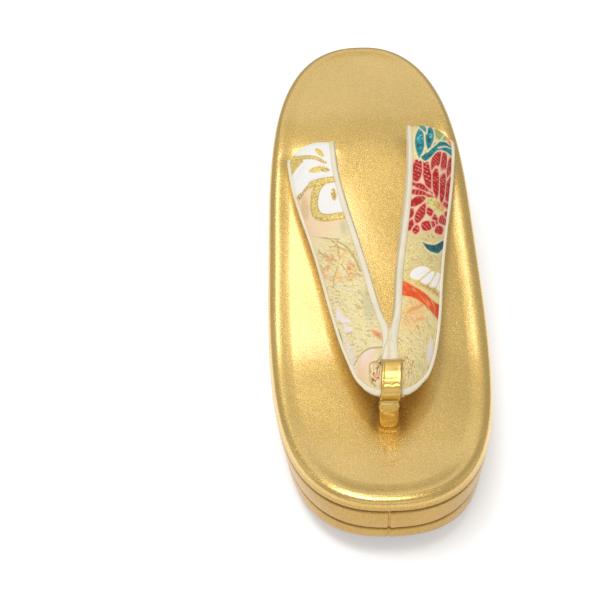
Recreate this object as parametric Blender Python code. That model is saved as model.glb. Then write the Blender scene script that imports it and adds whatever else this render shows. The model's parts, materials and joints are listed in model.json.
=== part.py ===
"""Zori sandal: a padded gold cover on two wedge tiers and a thin outsole, with padded
brocade straps joined under a toe thong. The toe points along -Y and the heel along +Y."""

import math

import bmesh
import bpy
import numpy as np

MM = 0.001

# Driving sizes
LENGTH = 240 * MM
GAP = 0.3 * MM
COVER_RISE = 6.0 * MM
OUTSOLE_THICK = 2.5 * MM
TOE_LIFT = 8.7 * MM
ARCH_RISE = 1.8 * MM

# Outline of the sole along the groove under the cover: half width by place along the
# length, and how square the toe and the heel are (2 is an ellipse)
HALF_WIDTH = 42.9 * MM
HALF_WIDTH_SLOPE = -1.95 * MM
HALF_WIDTH_CURVE = 8.2 * MM
HALF_WIDTH_TWIST = -1.1 * MM
TOE_SQUARENESS = 2.41
HEEL_SQUARENESS = 2.36
OUTLINE_POINTS = 72

# Where the flat of the forefoot and of the heel end, as parts of the length
TOE_FLAT_END = -0.30
ARCH_START = -0.15
ARCH_END = 0.22

# How steeply the toe springs up from the flat
TOE_SPRING_POWER = 1.8

# Inward slope of the tier sides going down, by region, and how long the sides' slope holds
SIDE_DRAFT = 0.157
TOE_DRAFT = 0.0
HEEL_DRAFT = 0.02
DRAFT_POWER = 4

# Heights of the two grooves above the bottom of the lower tier, in mm
# place along the length, groove under the cover, groove between the tiers
WEDGE = np.array([
    (-0.50, 23.6, 14.0),
    (-0.38, 20.9, 11.0),
    (-0.25, 21.4, 10.6),
    (0.00, 33.0, 13.6),
    (0.25, 47.6, 22.2),
    (0.50, 55.1, 26.4),
])

# Section of the rolled cover: inset from the outline, rise above the groove, in mm
COVER_PROFILE = [
    (1.40, 0.15), (0.40, 0.40), (0.00, 1.20), (-0.15, 2.80), (0.30, 4.40), (1.20, 5.70),
    (2.40, 6.35), (3.50, 6.35), (4.60, 6.05), (5.60, 5.95),
]

# Section of a tier at either of its grooves: inset from the side, rise from the groove, in mm
TIER_PROFILE = [(1.2, 0.15), (0.3, 0.45), (0.0, 1.2)]

# Outsole: inset from the outline at mid length, change of it towards either end, and the
# size of its lower edge
OUTSOLE_INSET = 2.6 * MM
OUTSOLE_INSET_CHANGE = 1.2 * MM
OUTSOLE_EDGE = 0.4 * MM

# Rims of the brocade in mm, a row for each section from the toe joint to the rear slot.
# Outer rim x, y and height over the cover, inner rim x, y and height, width of the lining
# beyond the outer and the inner rim, depth of the padding, crown of the brocade, lean of
# both straps towards +X, and how far the +X strap lags behind the other
STRAP_ROWS = np.array([
    (0.0, -77.8, 14.2, 0.0, -68.9, 17.4, 2.4, 0.7, 4.7, 2.2, 2.2, 0.0),
    (4.2, -77.8, 14.1, 4.0, -68.8, 17.4, 2.4, 0.7, 4.7, 2.2, 2.2, 0.0),
    (7.9, -75.7, 13.3, 4.3, -67.2, 17.8, 2.0, 0.9, 5.8, 2.5, 2.2, 0.0),
    (10.5, -72.6, 12.5, 3.5, -63.8, 18.3, 1.6, 1.6, 7.0, 2.7, 2.4, 0.0),
    (13.0, -68.4, 11.8, 2.7, -59.5, 18.7, 1.4, 3.0, 8.0, 2.7, 2.8, 0.0),
    (15.2, -62.0, 11.5, 3.2, -54.0, 18.8, 1.3, 3.0, 8.6, 2.6, 3.1, 0.0),
    (17.5, -53.6, 11.9, 4.7, -46.8, 18.6, 1.3, 2.5, 9.0, 2.6, 3.0, 0.0),
    (20.1, -40.5, 12.4, 6.2, -37.5, 18.2, 1.3, 2.4, 9.3, 2.5, 2.7, 0.0),
    (22.3, -27.0, 11.9, 8.0, -25.0, 17.6, 1.3, 2.4, 9.5, 2.5, 2.3, 0.0),
    (24.7, -13.0, 10.2, 10.4, -12.0, 17.1, 1.3, 2.3, 9.5, 2.5, 2.1, 0.0),
    (27.5, 1.0, 8.6, 12.9, 1.0, 16.9, 1.3, 2.2, 9.4, 2.5, 1.9, 0.3),
    (30.3, 14.0, 7.6, 15.1, 14.0, 16.4, 1.4, 2.1, 9.0, 2.6, 1.7, 0.8),
    (32.8, 27.0, 7.2, 16.8, 28.0, 15.6, 1.4, 2.0, 8.4, 2.7, 1.5, 1.7),
    (34.3, 40.0, 6.4, 17.5, 42.0, 13.6, 1.5, 1.9, 7.6, 2.8, 1.3, 2.8),
    (34.6, 48.5, 2.0, 17.8, 50.0, 8.2, 1.5, 1.8, 6.8, 2.8, 1.2, 3.6),
    (33.9, 50.8, -4.4, 18.6, 51.8, -4.4, 1.5, 1.7, 6.2, 2.4, 1.2, 3.6),
])

# Where things start along the strap, counted in rows of the table from the toe joint
HALF_START = 0.75
NECK_END = 1.05
HANG_END = 2.0
PANEL_START = 0.08
SLOT_START = 11.0
STRAP_STEPS = 2
FRAME_STEP = 0.3

# Section of the straps. The rolled edge beyond a rim, from its outside to the brocade: parts
# of its width that keep a clearance, parts that don't, and parts of its rise
RIM_RISE = 0.55 * MM
RIM_PROFILE = [(0.94, 0.0, 0.55), (0.62, 0.0, 1.0), (0.0, 0.25, 1.0), (0.0, 0.0, 0.5)]
PANEL_DEPTH = 1.7 * MM
PANEL_PROUD = 0.25 * MM
PANEL_GAP = 0.4 * MM
EDGE_TAPER = 0.55
LINING_SQUARENESS = 2.3
LINING_POINTS = 11
RECESS_POINTS = 7
PANEL_POINTS = 9
NECK_SHRINK = 0.25 * MM
NECK_POINTS = 16
SLOT_CLEARANCE = 0.45 * MM

# Toe thong: the loop round the joint of the straps, and its post
LOOP_WIDTH = 7.4 * MM
LOOP_WALL = 1.1 * MM
LOOP_SKEW = 0.09
LOOP_SQUARENESS = 2.4
LOOP_POINTS = 28
LOOP_EDGE = 0.5 * MM
POST_X = 1.1 * MM
POST_POINTS = 16
POST_SQUARENESS = 3.0

# Post in mm, below and above its seam ring: height over the cover, place along Y, half
# width, half depth
POST_LOW_ROWS = [(-4.4, -81.9, 3.3, 2.4), (0.0, -81.7, 3.4, 2.5), (6.5, -81.0, 3.5, 2.4)]
POST_HIGH_ROWS = [(7.3, -80.9, 3.8, 2.7), (8.1, -80.8, 3.6, 2.5), (10.6, -80.2, 3.5, 1.9)]

# Shading is sharp over a greater angle than this
SHARP_ANGLE = math.radians(35)

# Colours, as linear RGB
GOLD = (0.62, 0.41, 0.12)
CREAM = (0.80, 0.74, 0.58)
BROCADE = (0.72, 0.52, 0.34)
BROWN = (0.07, 0.035, 0.02)


def clear_scene():
    for obj in list(bpy.data.objects):
        bpy.data.objects.remove(obj, do_unlink=True)


def material(name, colour, roughness, metallic):
    made = bpy.data.materials.new(name)
    made.use_nodes = True
    shader = made.node_tree.nodes["Principled BSDF"]
    shader.inputs["Base Color"].default_value = (*colour, 1.0)
    shader.inputs["Roughness"].default_value = roughness
    shader.inputs["Metallic"].default_value = metallic
    return made


def smooth_table(places, values, at, level_turns=False):
    """Cubic through the rows of a table, with the slope at each row taken from its
    neighbours. With level turns the slope is nil where a column turns back."""
    slopes = np.gradient(values, places, axis=0)
    if level_turns:
        steps = np.diff(values, axis=0)
        slopes[1:-1] *= steps[1:] * steps[:-1] > 0
    index = np.clip(np.searchsorted(places, at, side="right") - 1, 0, len(places) - 2)
    width = (places[index + 1] - places[index])
    part = np.clip((at - places[index]) / width, 0.0, 1.0)
    if values.ndim > 1:
        part = part[..., None]
        width = width[..., None]
    square = part * part
    cube = square * part
    return (
        (2 * cube - 3 * square + 1) * values[index]
        + (cube - 2 * square + part) * width * slopes[index]
        + (3 * square - 2 * cube) * values[index + 1]
        + (cube - square) * width * slopes[index + 1]
    )


def outline(inset):
    """The sole's outline, moved inwards along its normal: a superellipse whose half width
    changes along the length."""
    angle = 2 * math.pi * np.arange(OUTLINE_POINTS) / OUTLINE_POINTS
    along, across = np.cos(angle), np.sin(angle)
    power = 2 / np.where(along < 0, TOE_SQUARENESS, HEEL_SQUARENESS)
    place = np.sign(along) * np.abs(along) ** power
    side = np.sign(across) * np.abs(across) ** power
    half = (HALF_WIDTH + HALF_WIDTH_SLOPE * place + HALF_WIDTH_CURVE * place ** 2
            + HALF_WIDTH_TWIST * place ** 3)
    x, y = half * side, place * LENGTH / 2
    run_x, run_y = np.roll(x, -1) - np.roll(x, 1), np.roll(y, -1) - np.roll(y, 1)
    run = np.hypot(run_x, run_y)
    return x + inset * run_y / run, y - inset * run_x / run


def bottom_height(y):
    """Height of the outsole's underside: flat under heel and forefoot, lifted at the toe
    and in a low arch between them."""
    place = y / LENGTH
    toe = np.clip((TOE_FLAT_END - place) / (0.5 + TOE_FLAT_END), 0, 1) ** TOE_SPRING_POWER
    arch = np.clip((place - ARCH_START) / (ARCH_END - ARCH_START), 0, 1)
    return TOE_LIFT * toe + ARCH_RISE * np.sin(math.pi * arch) ** 2


def cover_groove(y):
    return OUTSOLE_THICK + smooth_table(WEDGE[:, 0], WEDGE[:, 1] * MM, y / LENGTH)


def tier_groove(y):
    return OUTSOLE_THICK + smooth_table(WEDGE[:, 0], WEDGE[:, 2] * MM, y / LENGTH)


def cover_top(y):
    return cover_groove(y) + COVER_RISE


def along_sole():
    """How far along each point of the outline is, from -1 at the toe to 1 at the heel."""
    return np.cos(2 * math.pi * np.arange(OUTLINE_POINTS) / OUTLINE_POINTS)


def draft():
    """Inward slope of the side for each point of the outline."""
    along = along_sole()
    end = np.where(along < 0, TOE_DRAFT, HEEL_DRAFT)
    return SIDE_DRAFT + (end - SIDE_DRAFT) * along ** DRAFT_POWER


def level(height_of, rise, inset):
    """One ring of a sole layer: a height function of Y plus a rise, drawn in by the draft
    below the cover's groove and by its own inset."""
    base = outline(0.0)[1]
    drawn = draft() * np.maximum(cover_groove(base) - height_of(base) - rise, 0.0)
    x, y = outline(drawn + inset)
    return np.column_stack((x, y, height_of(y) + rise))


def finish(name, verts, faces, finish_material):
    mesh = bpy.data.meshes.new(name)
    mesh.from_pydata([tuple(v) for v in verts], [], faces)
    shell = bmesh.new()
    shell.from_mesh(mesh)
    bmesh.ops.recalc_face_normals(shell, faces=shell.faces)
    shell.to_mesh(mesh)
    shell.free()
    mesh.shade_smooth()
    mesh.set_sharp_from_angle(angle=SHARP_ANGLE)
    obj = bpy.data.objects.new(name, mesh)
    bpy.context.scene.collection.objects.link(obj)
    if finish_material:
        mesh.materials.append(finish_material)
    return obj


def ring_faces(count, rings, closed=False):
    """Quads between neighbouring rings of count points."""
    faces = []
    last = rings if closed else rings - 1
    for ring in range(last):
        low, high = ring * count, ((ring + 1) % rings) * count
        for i in range(count):
            j = (i + 1) % count
            faces.append((low + i, low + j, high + j, high + i))
    return faces


def ladder_cap(start, count):
    """Rungs across a ring that is the same left and right, so that a wedge's face stays
    smooth."""
    half = count // 2
    faces = [(start, start + 1, start + count - 1)]
    for i in range(1, half - 1):
        faces.append((start + i, start + i + 1, start + count - i - 1, start + count - i))
    faces.append((start + half - 1, start + half, start + half + 1))
    return faces


def sole_layer(name, rings, layer_material):
    faces = ring_faces(OUTLINE_POINTS, len(rings))
    faces += ladder_cap(0, OUTLINE_POINTS)
    faces += ladder_cap((len(rings) - 1) * OUTLINE_POINTS, OUTLINE_POINTS)
    return finish(name, np.concatenate(rings), faces, layer_material)


def tier_rings(low, high):
    """A covered tier: rounded edges at both grooves and a straight drafted side."""
    rings = [level(low, rise * MM, inset * MM) for inset, rise in TIER_PROFILE]
    return rings + [
        level(high, -rise * MM, inset * MM) for inset, rise in reversed(TIER_PROFILE)
    ]


def lower_tier_bottom(y):
    return bottom_height(y) + OUTSOLE_THICK


def make_sole(gold, brown):
    cover = sole_layer(
        "top_cover",
        [level(cover_groove, rise * MM, inset * MM) for inset, rise in COVER_PROFILE],
        gold,
    )
    sole_layer("upper_tier", tier_rings(tier_groove, cover_groove), gold)
    sole_layer("lower_tier", tier_rings(lower_tier_bottom, tier_groove), gold)
    # The outsole stands further in at the toe than at the heel.
    inset = OUTSOLE_INSET - OUTSOLE_INSET_CHANGE * along_sole()
    sole_layer(
        "outsole",
        [
            level(bottom_height, 0.0, inset + OUTSOLE_EDGE),
            level(bottom_height, OUTSOLE_EDGE, inset),
            level(lower_tier_bottom, -GAP, inset),
        ],
        brown,
    )
    return cover


def strap_table():
    """Rows from the left slot through the toe joint to the right slot. The left half
    mirrors the right one, apart from the lean and the lag."""
    rows = []
    for side in (-1, 1):
        half = STRAP_ROWS[:0:-1] if side < 0 else STRAP_ROWS
        for row in half:
            ox, oy, oh, ix, iy, ih, rim_out, rim_in, depth, crown, lean, lag = row
            rows.append((side * ox + lean, oy + side * lag, oh, side * ix + lean,
                         iy + side * lag, ih, rim_out, rim_in, depth, crown))
    return np.array(rows) * MM


def strap_rims(places):
    """Rims of the brocade in world space, and the sizes of the section, at places along
    the table."""
    table = strap_table()
    rows = np.arange(len(table), dtype=float) - (len(STRAP_ROWS) - 1)
    data = smooth_table(rows, table, places, level_turns=True)
    outer, inner = data[:, 0:3].copy(), data[:, 3:6].copy()
    outer[:, 2] += cover_top(outer[:, 1])
    inner[:, 2] += cover_top(inner[:, 1])
    return outer, inner, data[:, 6:]


def strap_frame(places):
    """Centre, axes and sizes of the strap's sections at places along its table. Across
    runs from the inner to the outer rim, out points away from the padding."""
    outer, inner, sizes = strap_rims(places)
    centre = (outer + inner) / 2
    across = outer - inner
    width = np.linalg.norm(across, axis=1, keepdims=True)
    across = across / width
    ahead = np.add(*strap_rims(places + FRAME_STEP)[:2]) / 2
    behind = np.add(*strap_rims(places - FRAME_STEP)[:2]) / 2
    run = ahead - behind
    run = run / np.linalg.norm(run, axis=1, keepdims=True)
    # The padding beside the toe loop hangs straight, and then turns with the strap.
    turned = np.clip((np.abs(places) - HANG_END) / HANG_END, 0, 1)[:, None]
    run = turned * run + (1 - turned) * np.array([1.0, 0.0, 0.0])
    out = np.cross(across, run)
    out = out / np.linalg.norm(out, axis=1, keepdims=True)
    return centre, across, out, np.column_stack((width[:, 0] / 2, sizes))


def sweep(places, profile_of, grow=0.0):
    """Rings of a profile (across, out) carried along the strap's frame."""
    centre, across, out, sizes = strap_frame(places)
    rings = []
    for i in range(len(centre)):
        a, b = profile_of(*sizes[i], grow)
        rings.append(centre[i] + np.outer(a, across[i]) + np.outer(b, out[i]))
    return rings


def lining_profile(half, rim_out, rim_in, depth, grow):
    """The underside of the strap, from the outer to the inner side, as half a
    superellipse."""
    angle = np.linspace(0, math.pi, LINING_POINTS)
    power = 2 / LINING_SQUARENESS
    reach = half + (rim_out + rim_in) / 2 + grow
    a = (rim_out - rim_in) / 2 + reach * np.sign(np.cos(angle)) * np.abs(np.cos(angle)) ** power
    return a, -(depth + grow) * np.sin(angle) ** power


def bead_profile(half, rim, grow):
    """The rolled edge of the lining beyond one rim, from its outside to the brocade."""
    outwards, inwards, rise = np.array(RIM_PROFILE).T
    return half + outwards * (rim + grow) + inwards * rim, RIM_RISE * rise + grow


def recess(part, crown):
    """Floor of the recess across the strap: shallower towards the rims."""
    return crown * (1 - part ** 2) - PANEL_DEPTH * (1 - EDGE_TAPER * part ** 4)


def body_profile(half, rim_out, rim_in, depth, crown, grow):
    """Lining, rolled edges and the recess that the brocade lies in."""
    low_a, low_b = lining_profile(half, rim_out, rim_in, depth, grow)
    in_a, in_b = bead_profile(half, rim_in, grow)
    out_a, out_b = bead_profile(half, rim_out, grow)
    part = np.linspace(-1, 1, RECESS_POINTS)
    return (
        np.concatenate((low_a, -in_a, half * part, out_a[::-1])),
        np.concatenate((low_b, in_b, recess(part, crown), out_b[::-1])),
    )


def neck_profile(half, rim_out, rim_in, depth, crown, grow):
    """The joint of the two halves, which the loop hides."""
    reach = half + (rim_out + rim_in) / 2 + grow
    thick = (depth - PANEL_DEPTH) / 2 + grow
    a, b = superellipse(reach, thick, LINING_SQUARENESS, NECK_POINTS)
    return a + (rim_out - rim_in) / 2, b - (depth + PANEL_DEPTH) / 2


def panel_profile(half, rim_out, rim_in, depth, crown, grow):
    """The crowned brocade, which stands a little proud in its recess."""
    part = np.linspace(-1, 1, PANEL_POINTS)
    low = np.linspace(1, -1, RECESS_POINTS)
    return (
        (half - GAP) * np.concatenate((part, low)),
        np.concatenate((crown * (1 - part ** 2) + PANEL_PROUD, recess(low, crown) + PANEL_GAP)),
    )


def slot_profile(half, rim_out, rim_in, depth, crown, grow):
    """The whole strap with its clearance, as it cuts its slot."""
    low_a, low_b = lining_profile(half, rim_out, rim_in, depth, grow)
    part = np.linspace(-1, 1, RECESS_POINTS)
    top_a = (rim_out - rim_in) / 2 + (half + (rim_out + rim_in) / 2 + grow) * part
    top_b = np.maximum(crown * (1 - part ** 2) + PANEL_PROUD, RIM_RISE) + grow
    return np.concatenate((low_a, top_a)), np.concatenate((low_b, top_b))


def tube(name, rings, tube_material):
    """A closed solid through its rings, with a flat face at both ends."""
    count = len(rings[0])
    faces = ring_faces(count, len(rings))
    faces.append(tuple(range(count)))
    faces.append(tuple(range((len(rings) - 1) * count, len(rings) * count)))
    return finish(name, np.concatenate(rings), faces, tube_material)


def strap_places(start):
    """Places from the start to the end of the strap, at even parts of a row."""
    last = len(STRAP_ROWS) - 1
    first = math.ceil(start * STRAP_STEPS + 0.5) / STRAP_STEPS
    return np.concatenate(([start], np.arange(first, last + 0.5 / STRAP_STEPS, 1 / STRAP_STEPS)))


def boolean(obj, other, operation, solver="EXACT"):
    other.hide_render = True
    other.display_type = "WIRE"
    modifier = obj.modifiers.new(other.name, "BOOLEAN")
    modifier.operation = operation
    modifier.solver = solver
    modifier.object = other


def make_straps(cream, brocade):
    """The two halves joined by the neck inside the toe loop, and their brocade faces. The
    loop's band presses its groove into each."""
    band = ring_solid("band_groove", loop_rings(GAP))
    body = tube("straps", sweep(strap_places(HALF_START), body_profile), cream)
    left = tube("left_half", sweep(-strap_places(HALF_START), body_profile), cream)
    neck = tube("neck", sweep(np.array([-NECK_END, NECK_END]), neck_profile, -NECK_SHRINK), cream)
    boolean(body, left, "UNION")
    boolean(body, neck, "UNION")
    boolean(body, band, "DIFFERENCE", "MANIFOLD")
    for name, side in (("brocade_left", -1), ("brocade_right", 1)):
        rings = sweep(side * strap_places(PANEL_START), panel_profile)
        boolean(tube(name, rings, brocade), band, "DIFFERENCE", "MANIFOLD")


def cut_slots(cover):
    """A slot in the cover for each strap end, from the strap's own section."""
    for name, side in (("slot_left", -1), ("slot_right", 1)):
        rings = sweep(side * strap_places(SLOT_START), slot_profile, SLOT_CLEARANCE)
        step = rings[-1] - rings[-2]
        rings.append(rings[-1] + step * SLOT_CLEARANCE / np.linalg.norm(step, axis=1).mean())
        boolean(cover, tube(name, rings, None), "DIFFERENCE")


def superellipse(half_a, half_b, squareness, count):
    angle = 2 * math.pi * np.arange(count) / count
    power = 2 / squareness
    a = half_a * np.sign(np.cos(angle)) * np.abs(np.cos(angle)) ** power
    b = half_b * np.sign(np.sin(angle)) * np.abs(np.sin(angle)) ** power
    return a, b


def loop_rings(spread=0.0):
    """The loop lies in the section plane of the toe joint and is LOOP_WIDTH wide along X:
    an inner oval that clears the joint, and an outer one a wall thickness larger. Spread
    thickens it on every side."""
    centre, across, out, sizes = (part[0] for part in strap_frame(np.zeros(1)))
    half, rim_out, rim_in, depth, crown = sizes
    reach = half + (rim_out + rim_in) / 2 + GAP
    top, low = crown + PANEL_PROUD + GAP, -depth - GAP
    origin = centre + across * (rim_out - rim_in) / 2 + out * (top + low) / 2
    rings = []
    side = LOOP_WIDTH / 2 + spread
    wall = LOOP_WALL + spread
    for x, grow in (
        (-side, -spread / 2),
        (-side, wall - LOOP_EDGE),
        (LOOP_EDGE - side, wall),
        (side - LOOP_EDGE, wall),
        (side, wall - LOOP_EDGE),
        (side, -spread / 2),
    ):
        a, b = superellipse(reach + grow, (top - low) / 2 + grow, LOOP_SQUARENESS, LOOP_POINTS)
        ring = origin + np.outer(a, across) + np.outer(b, out)
        ring[:, 0] += x - LOOP_SKEW * a
        rings.append(ring)
    return rings


def ring_solid(name, rings, ring_material=None):
    faces = ring_faces(len(rings[0]), len(rings), closed=True)
    return finish(name, np.concatenate(rings), faces, ring_material)


def post_rings(rows, grow=0.0):
    rings = []
    for height, y, half_x, half_y in rows:
        a, b = superellipse(half_x * MM + grow, half_y * MM + grow, POST_SQUARENESS, POST_POINTS)
        z = cover_top(np.array([y * MM]))[0] + height * MM
        rings.append(np.column_stack((POST_X + a, y * MM + b, np.full(POST_POINTS, z))))
    return rings


def make_thong(gold, cover):
    thong = ring_solid("toe_thong", loop_rings(), gold)
    post = tube("thong_post", post_rings(POST_LOW_ROWS + POST_HIGH_ROWS), gold)
    boolean(thong, post, "UNION", "MANIFOLD")
    hole = post_rings(POST_LOW_ROWS, SLOT_CLEARANCE)
    hole[0][:, 2] -= SLOT_CLEARANCE
    boolean(cover, tube("thong_hole", hole, None), "DIFFERENCE")


def main():
    clear_scene()
    gold = material("gold_vinyl", GOLD, 0.32, 0.55)
    cream = material("cream_lining", CREAM, 0.6, 0.0)
    brocade = material("brocade", BROCADE, 0.65, 0.0)
    brown = material("brown_outsole", BROWN, 0.7, 0.0)
    cover = make_sole(gold, brown)
    make_straps(cream, brocade)
    cut_slots(cover)
    make_thong(gold, cover)


main()
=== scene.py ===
"""Looks of a padded zori sandal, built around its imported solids: pearl gold covers on the
wedge, cream lined straps with brocade faces, and a folded toe thong."""

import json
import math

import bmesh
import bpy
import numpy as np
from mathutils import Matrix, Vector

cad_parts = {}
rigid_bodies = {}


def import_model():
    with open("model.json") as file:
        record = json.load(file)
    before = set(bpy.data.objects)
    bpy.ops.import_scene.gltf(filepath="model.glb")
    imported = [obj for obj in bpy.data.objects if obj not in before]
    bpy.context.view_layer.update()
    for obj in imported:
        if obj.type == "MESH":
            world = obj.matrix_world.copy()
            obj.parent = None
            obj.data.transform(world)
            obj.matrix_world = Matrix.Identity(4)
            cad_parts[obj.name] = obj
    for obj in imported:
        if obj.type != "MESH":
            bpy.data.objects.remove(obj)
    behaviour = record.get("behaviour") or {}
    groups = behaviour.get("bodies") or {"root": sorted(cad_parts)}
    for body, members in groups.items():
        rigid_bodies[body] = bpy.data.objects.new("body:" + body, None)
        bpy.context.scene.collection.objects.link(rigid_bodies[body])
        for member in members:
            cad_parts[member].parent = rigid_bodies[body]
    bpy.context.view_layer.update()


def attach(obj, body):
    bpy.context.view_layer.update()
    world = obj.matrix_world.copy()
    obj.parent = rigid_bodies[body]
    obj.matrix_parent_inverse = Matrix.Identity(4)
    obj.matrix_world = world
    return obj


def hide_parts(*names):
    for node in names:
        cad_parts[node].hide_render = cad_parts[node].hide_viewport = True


bl_info = {
    "name": "Zori sandal looks",
    "version": (1, 0, 0),
    "blender": (4, 5, 0),
    "location": "3D View > Sidebar > Zori",
    "description": "Covers, straps, thong and sole of a zori sandal around its solids",
    "category": "Object",
}

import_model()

MM = 0.001
BODY = "root"

# Sole outline: half width by place along the length, and how square toe and heel are
LENGTH = 240 * MM
GAP = 0.3 * MM
HALF_WIDTH = 42.9 * MM
HALF_WIDTH_SLOPE = -1.95 * MM
HALF_WIDTH_CURVE = 8.2 * MM
HALF_WIDTH_TWIST = -1.1 * MM
TOE_SQUARENESS = 2.41
HEEL_SQUARENESS = 2.36

# Sole heights
COVER_RISE = 6.0 * MM
OUTSOLE_THICK = 2.5 * MM
TOE_LIFT = 8.7 * MM
ARCH_RISE = 1.8 * MM
TOE_FLAT_END = -0.30
TOE_SPRING_POWER = 1.8
ARCH_START = -0.15
ARCH_END = 0.22

# Inward slope of the sides going down, by region
SIDE_DRAFT = 0.157
TOE_DRAFT = 0.0
HEEL_DRAFT = 0.02
DRAFT_POWER = 4

# Heights of the two grooves above the bottom of the lower tier, in mm
# place along the length, groove under the cover, groove between the tiers
WEDGE = np.array([
    (-0.50, 23.6, 14.0),
    (-0.38, 20.9, 11.0),
    (-0.25, 21.4, 10.6),
    (0.00, 33.0, 13.6),
    (0.25, 47.6, 22.2),
    (0.50, 55.1, 26.4),
])

# Section of the rolled cover: inset from the outline, rise above the groove, in mm
COVER_PROFILE = np.array([
    (1.40, 0.15), (0.40, 0.40), (0.00, 1.20), (-0.15, 2.80), (0.25, 4.35), (1.20, 5.60),
    (2.80, 6.28), (4.60, 6.32), (6.60, 6.12), (8.60, 5.97), (9.60, 5.95),
])

# Section of a tier at either of its grooves: inset from the side, rise from the groove, in mm
TIER_PROFILE = np.array([(1.2, 0.15), (0.62, 0.2), (0.3, 0.45), (0.08, 0.8), (0.0, 1.2)])

OUTSOLE_INSET = 2.6 * MM
OUTSOLE_INSET_CHANGE = 1.2 * MM
OUTSOLE_EDGE = 0.4 * MM

# Rims of the brocade in mm, a row for each section from the toe joint to the rear slot.
# Outer rim x, y and height over the cover, inner rim x, y and height, width of the lining
# beyond the outer and the inner rim, depth of the padding, crown of the brocade, lean of
# both straps towards +X, and how far the +X strap lags behind the other
STRAP_ROWS = np.array([
    (0.0, -77.8, 14.2, 0.0, -68.9, 17.4, 2.4, 0.7, 4.7, 2.2, 2.2, 0.0),
    (4.2, -77.8, 14.1, 3.4, -68.7, 17.4, 2.4, 0.7, 4.7, 2.2, 2.2, 0.0),
    (7.9, -75.7, 13.3, 3.3, -66.9, 17.8, 2.0, 0.9, 5.8, 2.5, 2.2, 0.0),
    (10.5, -72.6, 12.5, 2.9, -63.4, 18.3, 1.6, 1.8, 7.0, 2.7, 2.4, 0.0),
    (13.0, -68.4, 11.8, 2.7, -59.5, 18.7, 1.4, 3.0, 8.0, 2.7, 2.8, 0.0),
    (15.2, -62.0, 11.5, 3.2, -54.0, 18.8, 1.3, 3.0, 8.6, 2.6, 3.1, 0.0),
    (17.5, -53.6, 11.9, 4.7, -46.8, 18.6, 1.3, 2.5, 9.0, 2.6, 3.0, 0.0),
    (20.1, -40.5, 12.4, 6.2, -37.5, 18.2, 1.3, 2.4, 9.3, 2.5, 2.7, 0.0),
    (22.3, -27.0, 11.9, 8.0, -25.0, 17.6, 1.3, 2.4, 9.5, 2.5, 2.3, 0.0),
    (24.7, -13.0, 10.2, 10.4, -12.0, 17.1, 1.3, 2.3, 9.5, 2.5, 2.1, 0.0),
    (27.5, 1.0, 8.6, 12.9, 1.0, 16.9, 1.3, 2.2, 9.4, 2.5, 1.9, 0.3),
    (30.3, 14.0, 7.6, 15.1, 14.0, 16.4, 1.4, 2.1, 9.0, 2.6, 1.7, 0.8),
    (32.8, 27.0, 7.2, 16.8, 28.0, 15.6, 1.4, 2.0, 8.4, 2.7, 1.6, 1.7),
    (34.3, 40.0, 6.4, 17.5, 42.0, 13.6, 1.5, 1.9, 7.6, 2.8, 1.8, 2.8),
    (34.6, 48.5, 2.0, 17.8, 50.0, 8.2, 1.5, 1.8, 6.8, 2.8, 1.9, 3.6),
    (33.9, 50.8, -4.4, 18.6, 51.8, -4.4, 1.5, 1.7, 6.2, 2.4, 1.2, 3.6),
])

# Where things start along the strap, counted in rows of the table from the toe joint
HALF_START = 0.75
NECK_END = 1.05
HANG_END = 2.0
PANEL_START = 0.08
SLOT_START = 11.0
FRAME_STEP = 0.3
LAST_ROW = len(STRAP_ROWS) - 1

# Section of the straps. The rolled edge beyond a rim, from its outside to the brocade: parts
# of its width that keep a clearance, parts that don't, and parts of its rise
RIM_RISE = 0.55 * MM
RIM_PROFILE = np.array([
    (0.94, 0.0, 0.55), (0.62, 0.0, 1.0), (0.0, 0.25, 1.0), (0.0, 0.0, 0.5),
])
PANEL_DEPTH = 1.7 * MM
PANEL_PROUD = 0.25 * MM
PANEL_SIDE_GAP = 0.04 * MM
PANEL_GAP = 0.4 * MM
EDGE_TAPER = 0.55
LINING_SQUARENESS = 2.3
SLOT_CLEARANCE = 0.12 * MM
NECK_INSET = 0.25 * MM

# The inner rolled edges between the toe loop and the fork, with the rows they rise and sink in
ROLL_SPAN = (1.05, 5.2)
ROLL_FADES = (0.3, 0.9)
ROLL_OVERLAP = 0.12 * MM
ROLL_DEPTH = 1.5 * MM
ROLL_SINK = 1.2 * MM

# Toe thong: the loop round the joint of the straps, and its post
LOOP_WIDTH = 7.4 * MM
LOOP_WALL = 1.1 * MM
LOOP_SKEW = 0.09
LOOP_SQUARENESS = 2.4
LOOP_EDGE = 0.5 * MM
BAND_CLEARANCE = 0.1 * MM
POST_X = 1.1 * MM
POST_SQUARENESS = 3.0

# Post in mm: height over the cover, place along Y, half width, half depth
POST_ROWS = np.array([
    (-4.4, -81.9, 3.3, 2.4), (0.0, -81.7, 3.4, 2.5), (3.0, -81.4, 3.45, 2.45),
    (6.5, -81.0, 3.5, 2.4), (8.6, -80.7, 3.6, 2.4), (10.6, -80.2, 3.5, 1.9),
])

# The joint of the tier covers at the toe, in mm: its place, depth and width. Its lip: height
# as a share of the depth, then place and width as shares of the joint's width. It is cut as
# far back as its end, a share of the length
TOE_SEAM_X = -1.4
TOE_SEAM_DEPTH = 0.50
TOE_SEAM_WIDTH = 0.48
TOE_SEAM_LIP = (0.45, 2.6, 1.6)
TOE_SEAM_END = -0.3

# How far the side of a tier swells out between its grooves
SIDE_SWELL = 0.12 * MM

# The outline's points are closer together round this joint: how far, and by how much
TOE_SEAM_REACH = 6.5 * MM
TOE_SEAM_CLOSENESS = 6.0

# Painted shade: darker gold on the tiers and on the cover's lower roll, standing in for the
# dimmer light that they reflect. Its share of each colour, and the heights over the groove
# between which it turns into the upper gold
PAINTED_SHADE_GOLD = (0.60, 0.54, 0.40)
LOWER_ROLL = (2.4 * MM, 5.0 * MM)

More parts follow.
